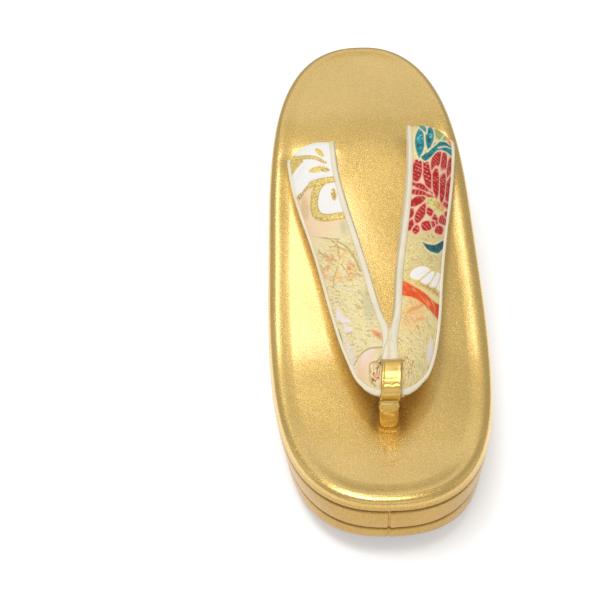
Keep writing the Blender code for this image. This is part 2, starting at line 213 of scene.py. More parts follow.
# Padding of the cover: its swell under the ball of the foot, with the places towards the toe
# where that starts, is highest and ends, and two slow waves
BALL_SWELL = 0.8 * MM
BALL_PLACES = (34.0 * MM, 68.0 * MM, 120.0 * MM)
WAVE_HEIGHT = 0.05 * MM
WAVE_LENGTHS = (9.5 * MM, 13.0 * MM)
WAVE_START = 1.3
SLANTED_WAVE_HEIGHT = 0.04 * MM
SLANTED_WAVE_LENGTH = 6.2 * MM
WAVE_SLANT = 0.7

# Dents beside a strap and round the post: share of the set depth, reach and steepness
STRAP_DENT = (1.0, 2.6 * MM, 1.6)
POST_DENT = (1.6, 2.2 * MM, 1.5)

# Height over the groove from which the cover has its waves, dents and creases
DETAIL_START = 0.6 * COVER_RISE

# Edge of a brocade face, gathered where it is turned under the piping
GATHER_DEPTH = 0.05 * MM
GATHER_LENGTH = 0.55 * MM
GATHER_START = 0.86

# Ridge along both edges of the loop: its height, then place and width as shares of half the
# loop's width. The least wall that a crease leaves. Where the post's folds fade in from its
# back, in mm before its middle
LOOP_RIDGE = (0.14 * MM, 0.84, 0.09)
LOOP_LEAST_WALL = 0.25 * MM
POST_FOLDS_FADE = (-1.0, 0.6)

# How fine the new surfaces are. A grid is given as its rings and the points of each, and the
# loop's as the points round it and those across its outside
OUTLINE_POINTS = 640
ROLL_RINGS = 26
INNER_ROLL_GRID = (40, 36)
SIDE_RINGS = 18
TOP_COLUMNS = 96
STRAP_STEP = 0.1
LINING_POINTS = 33
RECESS_POINTS = 9
PANEL_ROWS = 520
PANEL_COLUMNS = 81
LENGTH_STEPS = 2001
LOOP_GRID = (240, 41)
POST_GRID = (150, 96)

# Points nearer to each other than this after a cut are one point
HAIR = 0.0005 * MM

# Sockets of a Mix node for colours: factor, first and second colour, and the result
MIX_INPUTS = (0, 6, 7)
MIX_RESULT = 2


class CoverSettings(bpy.types.PropertyGroup):
    gold: bpy.props.FloatVectorProperty(
        name="Gold", description="Pearl gold of the covers", subtype="COLOR",
        default=(0.81, 0.525, 0.115), min=0.0, max=1.0)
    dent: bpy.props.FloatProperty(
        name="Dent", description="How far the cover is drawn in beside a strap",
        unit="LENGTH", default=0.4 * MM, min=0.0, max=3 * MM)
    grain: bpy.props.FloatProperty(
        name="Grain", description="Depth of the grain of the coated cloth",
        unit="LENGTH", default=0.03 * MM, min=0.0, max=1 * MM)


class StrapSettings(bpy.types.PropertyGroup):
    cream: bpy.props.FloatVectorProperty(
        name="Cream", description="Colour of the lining", subtype="COLOR",
        default=(0.90, 0.83, 0.66), min=0.0, max=1.0)
    thread: bpy.props.FloatProperty(
        name="Thread", description="Distance between the threads of the brocade",
        unit="LENGTH", default=0.42 * MM, min=0.1 * MM, max=2 * MM)


class SoleSettings(bpy.types.PropertyGroup):
    brown: bpy.props.FloatVectorProperty(
        name="Brown", description="Colour of the sole sheet", subtype="COLOR",
        default=(0.075, 0.04, 0.022), min=0.0, max=1.0)


class StageSettings(bpy.types.PropertyGroup):
    target: bpy.props.FloatVectorProperty(
        name="Target", description="Point that the camera looks at", subtype="XYZ",
        unit="LENGTH", default=(-30.62 * MM, -8.76 * MM, 23.07 * MM))
    azimuth: bpy.props.FloatProperty(
        name="Azimuth", description="Camera's turn about the vertical", subtype="ANGLE",
        default=math.radians(0.826))
    elevation: bpy.props.FloatProperty(
        name="Elevation", description="Camera's height over the horizon", subtype="ANGLE",
        default=math.radians(44.09))
    roll: bpy.props.FloatProperty(
        name="Roll", description="Camera's turn about its view", subtype="ANGLE",
        default=math.radians(-2.70))
    distance: bpy.props.FloatProperty(
        name="Distance", description="Camera's distance from its target", unit="LENGTH",
        default=500 * MM)
    lens: bpy.props.FloatProperty(
        name="Lens", description="Focal length for a 36 mm sensor, in millimetres",
        default=72.0)


class Wire:
    """A shader socket. Sums, products and powers of it add Math nodes."""

    def __init__(self, tree, socket):
        self.tree = tree
        self.socket = socket

    def maths(self, operation, *values, clamp=False):
        return self.tree.node(
            "ShaderNodeMath", {"operation": operation, "use_clamp": clamp}, *values)

    def __add__(self, other):
        return self.maths("ADD", self, other)

    __radd__ = __add__

    def __sub__(self, other):
        return self.maths("SUBTRACT", self, other)

    def __rsub__(self, other):
        return self.maths("SUBTRACT", other, self)

    def __mul__(self, other):
        return self.maths("MULTIPLY", self, other)

    __rmul__ = __mul__

    def __pow__(self, other):
        return self.maths("POWER", self, other)

    def sine(self):
        return self.maths("SINE", self)

    def limited(self):
        return self.maths("ADD", self, 0.0, clamp=True)


class Finish:
    """One material. Node adds any node: its type, its settings, then the values or links of
    its sockets, by place or by name."""

    def __init__(self, name, **constants):
        self.material = bpy.data.materials.new(name)
        self.material.use_nodes = True
        self.tree = self.material.node_tree
        self.shader = self.tree.nodes["Principled BSDF"]
        for key, value in constants.items():
            self.feed(self.shader.inputs[key.replace("_", " ")], value)

    def feed(self, socket, value):
        if isinstance(value, Wire):
            self.tree.links.new(value.socket, socket)
        elif hasattr(value, "__len__") and len(value) == 3 and socket.type == "RGBA":
            socket.default_value = (*value, 1.0)
        else:
            socket.default_value = value

    def node(self, kind, settings=None, *values, output=0, **named):
        made = self.tree.nodes.new(kind)
        for key, value in (settings or {}).items():
            setattr(made, key, value)
        for place, value in enumerate(values):
            self.feed(made.inputs[place], value)
        for key, value in named.items():
            self.feed(made.inputs[key.replace("_", " ")], value)
        return Wire(self, made.outputs[output])

    def mix(self, factor, first, second):
        """Colours mixed by a factor."""
        made = self.tree.nodes.new("ShaderNodeMix")
        made.data_type = "RGBA"
        for place, value in zip(MIX_INPUTS, (factor, first, second)):
            self.feed(made.inputs[place], value)
        return Wire(self, made.outputs[MIX_RESULT])

    def place(self, name="Object"):
        return self.node("ShaderNodeTexCoord", output=name)

    def attribute(self, name, output="Fac"):
        return self.node("ShaderNodeAttribute", {"attribute_name": name}, output=output)

    def scaled(self, vector, scale):
        return self.node("ShaderNodeMapping", Vector=vector, Scale=scale)

    def noise(self, vector, scale, detail=2.0, roughness=0.5):
        return self.node("ShaderNodeTexNoise", Vector=vector, Scale=scale, Detail=detail,
                         Roughness=roughness)

    def cells(self, vector, scale):
        return self.node("ShaderNodeTexVoronoi", Vector=vector, Scale=scale, output="Color")

    def part(self, vector, index):
        return self.node("ShaderNodeSeparateXYZ", Vector=vector, output=index)

    def bump(self, height, distance, strength=1.0):
        return self.node("ShaderNodeBump", Strength=strength, Distance=distance, Height=height)

    def drive(self, name, value):
        self.feed(self.shader.inputs[name], value)


def tinted(colour, share, lift=0.0):
    """A paler or darker form of a colour: a share of each part, or one share for all."""
    return tuple(min(1.0, float(part) * c + lift)
                 for part, c in zip(np.broadcast_to(share, 3), colour))


def gold_cover_finish(name, gold, grain, sparkle=1.0, coat=0.75, rough=0.27):
    """Pearl gold coated cloth: a metallic base with fine paler flakes under a clear coat,
    with a faint pebble grain. Where the mesh marks the lower roll, the gold is painted
    darker and its coat is thinner, as painted shade."""
    made = Finish(name, Metallic=0.85, Coat_Roughness=0.12, Coat_IOR=1.65)
    place = made.place()
    cloud = made.noise(place, 42.0, 3.0)
    flake = made.part(made.cells(place, 4200.0), 0)
    fine = made.noise(place, 1900.0, 1.0)
    colour = made.mix((cloud + fine * 1.2 - 0.6).limited(), tinted(gold, 0.86),
                      tinted(gold, 1.12, 0.03))
    # Painted shade: darker gold and a thinner coat where the mesh marks the cover's lower roll
    lower = made.attribute("painted_roll_shade")
    colour = made.mix(lower, colour, tinted(gold, PAINTED_SHADE_GOLD))
    made.drive("Base Color", made.mix((flake ** 4.0) * (0.35 * sparkle), colour,
                                      (1.0, 0.88, 0.56)))
    speck = made.noise(place, 1500.0, 2.0)
    made.drive("Roughness", rough + 0.10 * (speck - 0.5) - flake ** 4.0 * 0.05)
    made.drive("Coat Weight", (coat + 0.2 * cloud) * (1.0 - lower * 0.8))
    pebble = made.noise(place, 2300.0, 3.0, 0.6)
    soft = made.noise(place, 420.0, 2.0)
    made.drive("Normal", made.bump(pebble * 0.6 + soft + flake * 0.35 * sparkle, grain))
    return made.material


def cream_lining_finish(name, cream):
    """Cream synthetic leather with a fine grain, a little darker in its low spots."""
    made = Finish(name, Sheen_Weight=0.04, Sheen_Roughness=0.4, Specular_IOR_Level=0.4)
    place = made.place()
    grain = made.noise(place, 1500.0, 4.0, 0.6)
    cloud = made.noise(place, 90.0, 3.0)
    made.drive("Base Color", made.mix((grain * 0.7 + cloud * 0.9 - 0.35).limited(),
                                      tinted(cream, (0.86, 0.83, 0.74)), tinted(cream, 1.06)))
    made.drive("Roughness", 0.44 + 0.14 * grain)
    made.drive("Normal", made.bump(grain + 0.6 * cloud, 0.09 * MM))
    return made.material


def brocade_finish(name, thread):
    """Woven silk and gold thread. The pattern's colours are on the mesh, with how much of
    each point is gold thread. The weave follows the strap's own lengths: weft ribs across
    it, broken by a twill, with single threads paler or darker than their neighbours. The
    colour is painted darker and browner in the dips of the weave, most on gold thread, as
    painted shade, and pale glints on the gold thread are painted highlights."""
    made = Finish(name, Sheen_Weight=0.02, Sheen_Roughness=0.3, Specular_IOR_Level=0.2)
    colour, gold = made.attribute("silk", "Color"), made.attribute("gold_thread")
    lay = made.place("UV")
    across, along = made.part(lay, 0), made.part(lay, 1)
    turn = 2 * math.pi / thread
    weft = (along * turn + (across * (0.5 * turn)).sine() * 0.8).sine()
    twill = ((across + along) * (0.7 * turn)).sine()
    weave = weft * 0.6 + twill * 0.4
    single = made.noise(made.scaled(lay, (1.0, 2.4, 1.0)), 1150.0, 1.0)
    glint = made.noise(made.scaled(lay, (1.0, 1.8, 1.0)), 1400.0, 1.0)
    # Painted shade in the dips of the weave, with single threads darker or paler at random
    shade = (weave * 0.20 + (single - 0.36) * 3.2).limited()
    dark = made.mix(0.12 + gold * 0.50, colour, (0.40, 0.23, 0.06))
    cloth = made.mix(shade * 0.8 + 0.2, dark, colour)
    # Painted highlights: pale glints on the gold thread
    painted_glint = ((glint - 0.50) * 8.0).limited() * gold
    made.drive("Base Color", made.mix(painted_glint * 0.9, cloth, (1.0, 0.97, 0.66)))
    made.drive("Metallic", gold * 0.25)
    made.drive("Roughness", 0.62 - gold * 0.24 + weave * 0.05)
    made.drive("Normal", made.bump(weave * 0.5 + single, 0.10 * MM, 0.9))
    return made.material


def brown_sole_finish(name, brown):
    """Matt sole sheet with a fine pitted grain."""
    made = Finish(name, Specular_IOR_Level=0.15)
    place = made.place()
    grain = made.noise(place, 1100.0, 4.0, 0.65)
    worn = made.noise(place, 70.0, 3.0)
    made.drive("Base Color", made.mix((grain * 0.5 + worn * 0.8 - 0.2).limited(),
                                      tinted(brown, 0.7), tinted(brown, 1.5)))
    made.drive("Roughness", 0.66 + 0.2 * grain)
    made.drive("Normal", made.bump(grain, 0.12 * MM))
    return made.material


def smooth_table(places, values, at, level_turns=False):
    """Cubic through the rows of a table, with the slope at each row taken from its
    neighbours. With level turns the slope is nil where a column turns back."""
    slopes = np.gradient(values, places, axis=0)
    if level_turns:
        steps = np.diff(values, axis=0)
        slopes[1:-1] *= steps[1:] * steps[:-1] > 0
    index = np.clip(np.searchsorted(places, at, side="right") - 1, 0, len(places) - 2)
    width = places[index + 1] - places[index]
    part = np.clip((at - places[index]) / width, 0.0, 1.0)
    if values.ndim > 1:
        part = part[..., None]
        width = width[..., None]
    square = part * part
    cube = square * part
    return (
        (2 * cube - 3 * square + 1) * values[index]
        + (cube - 2 * square + part) * width * slopes[index]
        + (3 * square - 2 * cube) * values[index + 1]
        + (cube - square) * width * slopes[index + 1]
    )


def fine_profile(rows, count):
    """More points on a profile, on the same smooth curve."""
    places = np.arange(len(rows), dtype=float)
    return smooth_table(places, rows, np.linspace(0, len(rows) - 1, count))


def soft_step(value, low, high):
    """0 below low, 1 above high, and smooth between them."""
    part = np.clip((value - low) / (high - low), 0.0, 1.0)
    return part * part * (3 - 2 * part)


def signed_power(value, power):
    return np.sign(value) * np.abs(value) ** power


def bell(value):
    return np.exp(-value ** 2)


def running_sum(steps):
    """Sum of the steps before each place, from 0 before the first to the whole sum."""
    return np.concatenate(([0], np.cumsum(steps)))


def unit(vectors):
    return vectors / np.linalg.norm(vectors, axis=1, keepdims=True)


def turn_lengths(a, b, turn):
    """Lengths along and across an axis that is turned by an angle in degrees."""
    cos, sin = math.cos(math.radians(turn)), math.sin(math.radians(turn))
    return a * cos + b * sin, b * cos - a * sin


def half_width(place):
    return (HALF_WIDTH + HALF_WIDTH_SLOPE * place + HALF_WIDTH_CURVE * place ** 2
            + HALF_WIDTH_TWIST * place ** 3)


def even_outline():
    """The superellipse outline of the sole with its points evenly spaced, closer at the
    toe's seam, and the normal that points inwards. It starts at the middle of the heel and
    goes round by +X."""
    angle = np.linspace(0, 2 * math.pi, 40 * OUTLINE_POINTS + 1)
    along, across = np.cos(angle), np.sin(angle)
    power = 2 / np.where(along < 0, TOE_SQUARENESS, HEEL_SQUARENESS)
    place, side = signed_power(along, power), signed_power(across, power)
    x, y = half_width(place) * side, place * LENGTH / 2
    run = running_sum(np.hypot(np.diff(x), np.diff(y)))
    toe = (run - run[-1] / 2) / TOE_SEAM_REACH
    close = 1 + TOE_SEAM_CLOSENESS * np.exp(-toe ** 4)
    share = running_sum((close[1:] + close[:-1]) / 2 * np.diff(run))
    even = np.interp(np.linspace(0, share[-1], OUTLINE_POINTS, endpoint=False), share, run)
    x, y = np.interp(even, run, x), np.interp(even, run, y)
    run_x, run_y = np.roll(x, -1) - np.roll(x, 1), np.roll(y, -1) - np.roll(y, 1)
    size = np.hypot(run_x, run_y)
    return x, y, run_y / size, -run_x / size


OUTLINE = even_outline()


def outline(inset):
    x, y, in_x, in_y = OUTLINE
    return x + inset * in_x, y + inset * in_y


def bottom_height(y):
    """Underside of the outsole: flat under heel and forefoot, lifted at the toe and in a low
    arch between them."""
    place = y / LENGTH
    toe = np.clip((TOE_FLAT_END - place) / (0.5 + TOE_FLAT_END), 0, 1) ** TOE_SPRING_POWER
    arch = np.clip((place - ARCH_START) / (ARCH_END - ARCH_START), 0, 1)
    return TOE_LIFT * toe + ARCH_RISE * np.sin(math.pi * arch) ** 2


def lower_tier_bottom(y):
    return bottom_height(y) + OUTSOLE_THICK


def cover_groove(y):
    return OUTSOLE_THICK + smooth_table(WEDGE[:, 0], WEDGE[:, 1] * MM, y / LENGTH)


def tier_groove(y):
    return OUTSOLE_THICK + smooth_table(WEDGE[:, 0], WEDGE[:, 2] * MM, y / LENGTH)


def cover_top(y):
    return cover_groove(y) + COVER_RISE


def along_sole():
    """How far along each point of the outline is, from -1 at the toe to 1 at the heel, as
    the angle's cosine of the superellipse."""
    place = OUTLINE[1] / (LENGTH / 2)
    power = np.where(place < 0, TOE_SQUARENESS, HEEL_SQUARENESS) / 2
    return signed_power(np.clip(place, -1.0, 1.0), power)


def draft():
    along = along_sole()
    end = np.where(along < 0, TOE_DRAFT, HEEL_DRAFT)
    return SIDE_DRAFT + (end - SIDE_DRAFT) * along ** DRAFT_POWER


def level(height_of, rise, inset):
    """One ring of a sole layer: a height function of Y plus a rise, drawn in by the draft
    below the cover's groove and by its own inset."""
    base = OUTLINE[1]
    drawn = draft() * np.maximum(cover_groove(base) - height_of(base) - rise, 0.0)
    x, y = outline(drawn + inset)
    return np.column_stack((x, y, height_of(y) + rise))


def grid_faces(rows, columns, around=False, closed=False):
    """Quads of a grid of points stored row by row. Around joins the last column to the
    first, and closed joins the last row to the first."""
    row = np.arange(rows if closed else rows - 1)[:, None]
    column = np.arange(columns if around else columns - 1)[None, :]
    low, high = row * columns, ((row + 1) % rows) * columns
    here, beside = column, (column + 1) % columns
    quads = np.stack((low + here, low + beside, high + beside, high + here), axis=-1)
    return quads.reshape(-1, 4)


def ladder_faces(start, count):
    """Rungs across a ring that is the same left and right: its quads and two triangles."""
    step = np.arange(1, count // 2 - 1)
    quads = np.column_stack((step, step + 1, count - step - 1, count - step)) + start
    half = count // 2
    ends = np.array([(0, 1, count - 1), (half - 1, half, half + 1)]) + start
    return quads, ends


def new_piece(name, points, faces, finish, recalculate=True, sharp=None):
    """A mesh object from points and arrays of faces, with its normals outwards."""
    mesh = bpy.data.meshes.new(name)
    corners = np.concatenate([part.ravel() for part in faces]).astype(np.int32)
    counts = np.concatenate([np.full(len(part), part.shape[1]) for part in faces])
    mesh.vertices.add(len(points))
    mesh.vertices.foreach_set("co", np.asarray(points, np.float32).ravel())
    mesh.loops.add(len(corners))
    mesh.loops.foreach_set("vertex_index", corners)
    mesh.polygons.add(len(counts))
    mesh.polygons.foreach_set("loop_start", running_sum(counts)[:-1].astype(np.int32))
    mesh.update(calc_edges=True)
    mesh.validate()
    if recalculate:
        shell = bmesh.new()
        shell.from_mesh(mesh)
        bmesh.ops.recalc_face_normals(shell, faces=shell.faces)
        shell.to_mesh(mesh)
        shell.free()
    mesh.shade_smooth()
    if sharp:
        mesh.set_sharp_from_angle(angle=math.radians(sharp))
    if finish:
        mesh.materials.append(finish)
    piece = bpy.data.objects.new(name, mesh)
    bpy.context.scene.collection.objects.link(piece)
    return piece


def point_values(mesh, name, values):
    """Keeps a number for each point, which a finish reads by this name."""
    made = mesh.attributes.new(name, "FLOAT", "POINT")
    made.data.foreach_set("value", values.astype(np.float32).ravel())


def settle(piece, slot, *nodes):
    """Makes a finished piece part of the sandal, in place of its plain solids."""
    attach(piece, BODY)
    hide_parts(*nodes)
    return piece


def drop_slivers(mesh):
    """Takes out what a cut leaves behind: pairs of faces on the same points, and points
    within a hair of each other."""
    shell = bmesh.new()
    shell.from_mesh(mesh)
    bmesh.ops.triangulate(shell, faces=[face for face in shell.faces if len(face.verts) > 4])
    groups = {}
    for face in shell.faces:
        places = frozenset(tuple(round(length / HAIR) for length in vert.co)
                           for vert in face.verts)
        groups.setdefault(places, []).append(face)
    twins = [face for faces in groups.values() if len(faces) > 1 for face in faces]
    bmesh.ops.delete(shell, geom=twins, context="FACES")
    bmesh.ops.remove_doubles(shell, verts=shell.verts, dist=HAIR)
    shell.to_mesh(mesh)
    shell.free()


def cut(piece, cutters, operation="DIFFERENCE"):
    """Cuts, or joins, closed meshes and keeps the result as the piece's own mesh."""
    for cutter in cutters:
        modifier = piece.modifiers.new(cutter.name, "BOOLEAN")
        modifier.operation = operation
        modifier.solver = "MANIFOLD"
        modifier.object = cutter
    bpy.context.view_layer.update()
    graph = bpy.context.evaluated_depsgraph_get()
    made = bpy.data.meshes.new_from_object(piece.evaluated_get(graph))
    piece.modifiers.clear()
    drop_slivers(made)
    piece.data = made
    made.shade_smooth()
    for cutter in cutters:
        bpy.data.objects.remove(cutter, do_unlink=True)
    return piece


def strap_table():
    """Rows from the left slot through the toe joint to the right slot. The left half
    mirrors the right one, apart from the lean and the lag."""
    rows = []
    for side in (-1, 1):
        half = STRAP_ROWS[:0:-1] if side < 0 else STRAP_ROWS
        for row in half:
            ox, oy, oh, ix, iy, ih, rim_out, rim_in, depth, crown, lean, lag = row
            rows.append((side * ox + lean, oy + side * lag, oh, side * ix + lean,
                         iy + side * lag, ih, rim_out, rim_in, depth, crown))
    return np.array(rows) * MM


def strap_rims(places):
    """Rims of the brocade and sizes of the section at places along the table."""
    table = strap_table()
    rows = np.arange(len(table), dtype=float) - LAST_ROW
    data = smooth_table(rows, table, places, level_turns=True)
    outer, inner = data[:, 0:3].copy(), data[:, 3:6].copy()
    outer[:, 2] += cover_top(outer[:, 1])
    inner[:, 2] += cover_top(inner[:, 1])
    return outer, inner, data[:, 6:]


def strap_frame(places):
    """Centre, axes and sizes of the strap's sections at places along its table. Across
    runs from the inner to the outer rim, out points away from the padding."""
    outer, inner, sizes = strap_rims(places)
    centre = (outer + inner) / 2
    across = outer - inner
    width = np.linalg.norm(across, axis=1, keepdims=True)
    across = across / width
    ahead = np.add(*strap_rims(places + FRAME_STEP)[:2]) / 2
    behind = np.add(*strap_rims(places - FRAME_STEP)[:2]) / 2
    run = unit(ahead - behind)
    turned = np.clip((np.abs(places) - HANG_END) / HANG_END, 0, 1)[:, None]
    run = turned * run + (1 - turned) * np.array([1.0, 0.0, 0.0])
    out = unit(np.cross(across, run))
    return centre, across, out, np.column_stack((width[:, 0] / 2, sizes))


def sweep(places, profile_of, grow=0.0):
    """Points of a profile (across, out) carried along the strap's frame, all at once."""
    centre, across, out, sizes = strap_frame(places)
    a, b = profile_of(*(sizes[:, i:i + 1] for i in range(sizes.shape[1])), grow)
    return centre[:, None] + a[..., None] * across[:, None] + b[..., None] * out[:, None]


def lining_profile(half, rim_out, rim_in, depth, grow):
    """The underside of the strap, from the outer to the inner side: half a superellipse."""
    angle = np.linspace(0, math.pi, LINING_POINTS)[None]
    power = 2 / LINING_SQUARENESS
    reach = half + (rim_out + rim_in) / 2 + grow
    a = (rim_out - rim_in) / 2 + reach * signed_power(np.cos(angle), power)
    return a, -(depth + grow) * np.abs(np.sin(angle)) ** power


def bead_profile(half, rim, grow):
    """The rolled edge of the lining beyond one rim, from its outside to the brocade."""
    outwards, inwards, rise = fine_profile(RIM_PROFILE, 7).T[:, None]
    return half + outwards * (rim + grow) + inwards * rim, RIM_RISE * rise + grow + 0 * half


def recess(part, crown):
    """Floor of the recess across the strap: shallower towards the rims."""
    return crown * (1 - part ** 2) - PANEL_DEPTH * (1 - EDGE_TAPER * part ** 4)


def body_profile(half, rim_out, rim_in, depth, crown, grow):
    """Lining, rolled edges and the recess that the brocade lies in."""
    low_a, low_b = lining_profile(half, rim_out, rim_in, depth, grow)
    in_a, in_b = bead_profile(half, rim_in, grow)
    out_a, out_b = bead_profile(half, rim_out, grow)
    part = np.linspace(-1, 1, RECESS_POINTS)[None]
    return (
        np.concatenate((low_a, -in_a, half * part, out_a[:, ::-1]), axis=1),
        np.concatenate((low_b, in_b, recess(part, crown), out_b[:, ::-1]), axis=1),
    )


def superellipse(half_a, half_b, squareness, count):
    angle = 2 * math.pi * np.arange(count) / count
    a = half_a * signed_power(np.cos(angle), 2 / squareness)
    return a, half_b * signed_power(np.sin(angle), 2 / squareness)


def neck_profile(half, rim_out, rim_in, depth, crown, grow):
    """The joint of the two halves, which the loop hides."""
    reach = half + (rim_out + rim_in) / 2 + grow
    thick = (depth - PANEL_DEPTH) / 2 + grow
    a, b = superellipse(reach, thick, LINING_SQUARENESS, LINING_POINTS)
    return a + (rim_out - rim_in) / 2, b - (depth + PANEL_DEPTH) / 2


def panel_profile(half, rim_out, rim_in, depth, crown, grow):
    """The crowned brocade, which stands a little proud in its recess."""
    part = np.linspace(-1, 1, PANEL_COLUMNS)[None]
    low = np.linspace(1, -1, RECESS_POINTS)[None]
    return (
        (half - PANEL_SIDE_GAP) * np.concatenate((part, low), axis=1),
        np.concatenate((crown * (1 - part ** 2) + PANEL_PROUD, recess(low, crown) + PANEL_GAP),
                       axis=1),
    )


def slot_profile(half, rim_out, rim_in, depth, crown, grow):
    """The whole strap with its clearance, as it cuts its slot."""
    low_a, low_b = lining_profile(half, rim_out, rim_in, depth, grow)
    part = np.linspace(-1, 1, RECESS_POINTS)[None]
    top_a = (rim_out - rim_in) / 2 + (half + (rim_out + rim_in) / 2 + grow) * part
    top_b = np.maximum(crown * (1 - part ** 2) + PANEL_PROUD, RIM_RISE) + grow
    return np.concatenate((low_a, top_a), axis=1), np.concatenate((low_b, top_b), axis=1)


def tube(name, rings, finish=None):
    """A closed solid through rings of points, with a flat face at both ends."""
    count = rings.shape[1]
    last = (len(rings) - 1) * count
    faces = [
        grid_faces(len(rings), count, around=True),
        np.arange(count)[None],
        np.arange(last, last + count)[None],
    ]
    return new_piece(name, rings.reshape(-1, 3), faces, finish)


def strap_places(start):
    count = math.ceil((LAST_ROW - start) / STRAP_STEP) + 1
    return np.linspace(start, LAST_ROW, count)


def loop_frame():
    """Middle, axes and inner half sizes of the toe loop's oval."""
    centre, across, out, sizes = (part[0] for part in strap_frame(np.zeros(1)))
    half, rim_out, rim_in, depth, crown = sizes
    reach = half + (rim_out + rim_in) / 2 + GAP
    top, low = crown + PANEL_PROUD + GAP, -depth - GAP
    middle = centre + across * (rim_out - rim_in) / 2 + out * (top + low) / 2
    return middle, across, out, reach, (top - low) / 2


def post_rings(rows, grow=0.0, count=32):
    rings = []
    for height, y, half_x, half_y in rows:
        a, b = superellipse(half_x * MM + grow, half_y * MM + grow, POST_SQUARENESS, count)
        z = cover_top(np.array([y * MM]))[0] + height * MM
        rings.append(np.column_stack((POST_X + a, y * MM + b, np.full(count, z))))
    return np.array(rings)


def footprint(rings):
    """Where each line along a tube last passes down through the cover: a closed polygon."""
    over = rings[..., 2] - cover_top(rings[..., 1])
    last = len(rings) - 2 - np.argmax((over[:-1] > 0)[::-1], axis=0)
    column = np.arange(rings.shape[1])
    above, below = over[last, column], over[last + 1, column]
    part = np.clip(above / (above - below), 0.0, 1.0)[:, None]
    return (rings[last, column] * (1 - part) + rings[last + 1, column] * part)[:, :2]


def distance_to(x, y, polygon):
    """Distance from each point to a closed polygon, negative inside it."""
    starts, ends = polygon, np.roll(polygon, -1, axis=0)
    edge = ends - starts
    long = np.maximum((edge ** 2).sum(1), 1e-14)
    near = np.full(x.shape, np.inf)
    inside = np.zeros(x.shape, dtype=bool)
    for (ax, ay), (_, by), (ex, ey), size in zip(starts, ends, edge, long):
        part = np.clip(((x - ax) * ex + (y - ay) * ey) / size, 0.0, 1.0)
        near = np.minimum(near, np.hypot(x - ax - part * ex, y - ay - part * ey))
        crosses = (ay > y) != (by > y)
        rise = by - ay if by != ay else 1e-12
        inside ^= crosses & (x < ax + (y - ay) * ex / rise)
    return np.where(inside, -near, near)


# Creases of the cover in front of the thong, in mm: middle x and y, turn in degrees, half
# length, half width, depth
THONG_CREASES = np.array([
    (-1.3, -85.0, 62.0, 1.7, 0.7, 0.20),
    (2.0, -86.4, -35.0, 2.0, 0.7, 0.18),
    (-0.6, -95.1, 80.0, 1.3, 0.8, 0.10),
    (-1.9, -101.9, 20.0, 1.3, 0.7, 0.10),
    (2.3, -101.1, 28.0, 2.3, 0.7, 0.12),
])


def cover_relief(x, y, dent):
    """Height that details add to the cover's top: dents round the straps and the post,
    creases in front of the post, slow waves of the padding, and its soft swell under the
    ball of the foot."""
    wave_x, wave_y = WAVE_LENGTHS
    relief = WAVE_HEIGHT * np.sin(x / wave_x + WAVE_START) * np.sin(y / wave_y)
    relief += SLANTED_WAVE_HEIGHT * np.sin((x + WAVE_SLANT * y) / SLANTED_WAVE_LENGTH)
    start, crest, end = BALL_PLACES
    relief += BALL_SWELL * soft_step(-y, start, crest) * (1 - soft_step(-y, crest, end))
    prints = [(footprint(sweep(side * strap_places(SLOT_START), slot_profile)), STRAP_DENT)
              for side in (-1, 1)]
    prints.append((post_rings(POST_ROWS[:3])[1][:, :2], POST_DENT))
    for polygon, (share, reach, power) in prints:
        away = np.maximum(distance_to(x, y, polygon), 0.0)
        relief -= share * dent * np.exp(-(away / reach) ** power)
    for middle_x, middle_y, turn, long, wide, deep in THONG_CREASES:
        along, across = turn_lengths(x - middle_x * MM, y - middle_y * MM, turn)
        relief -= deep * MM * np.exp(-(along / (long * MM)) ** 2 - (across / (wide * MM)) ** 2)
    return relief


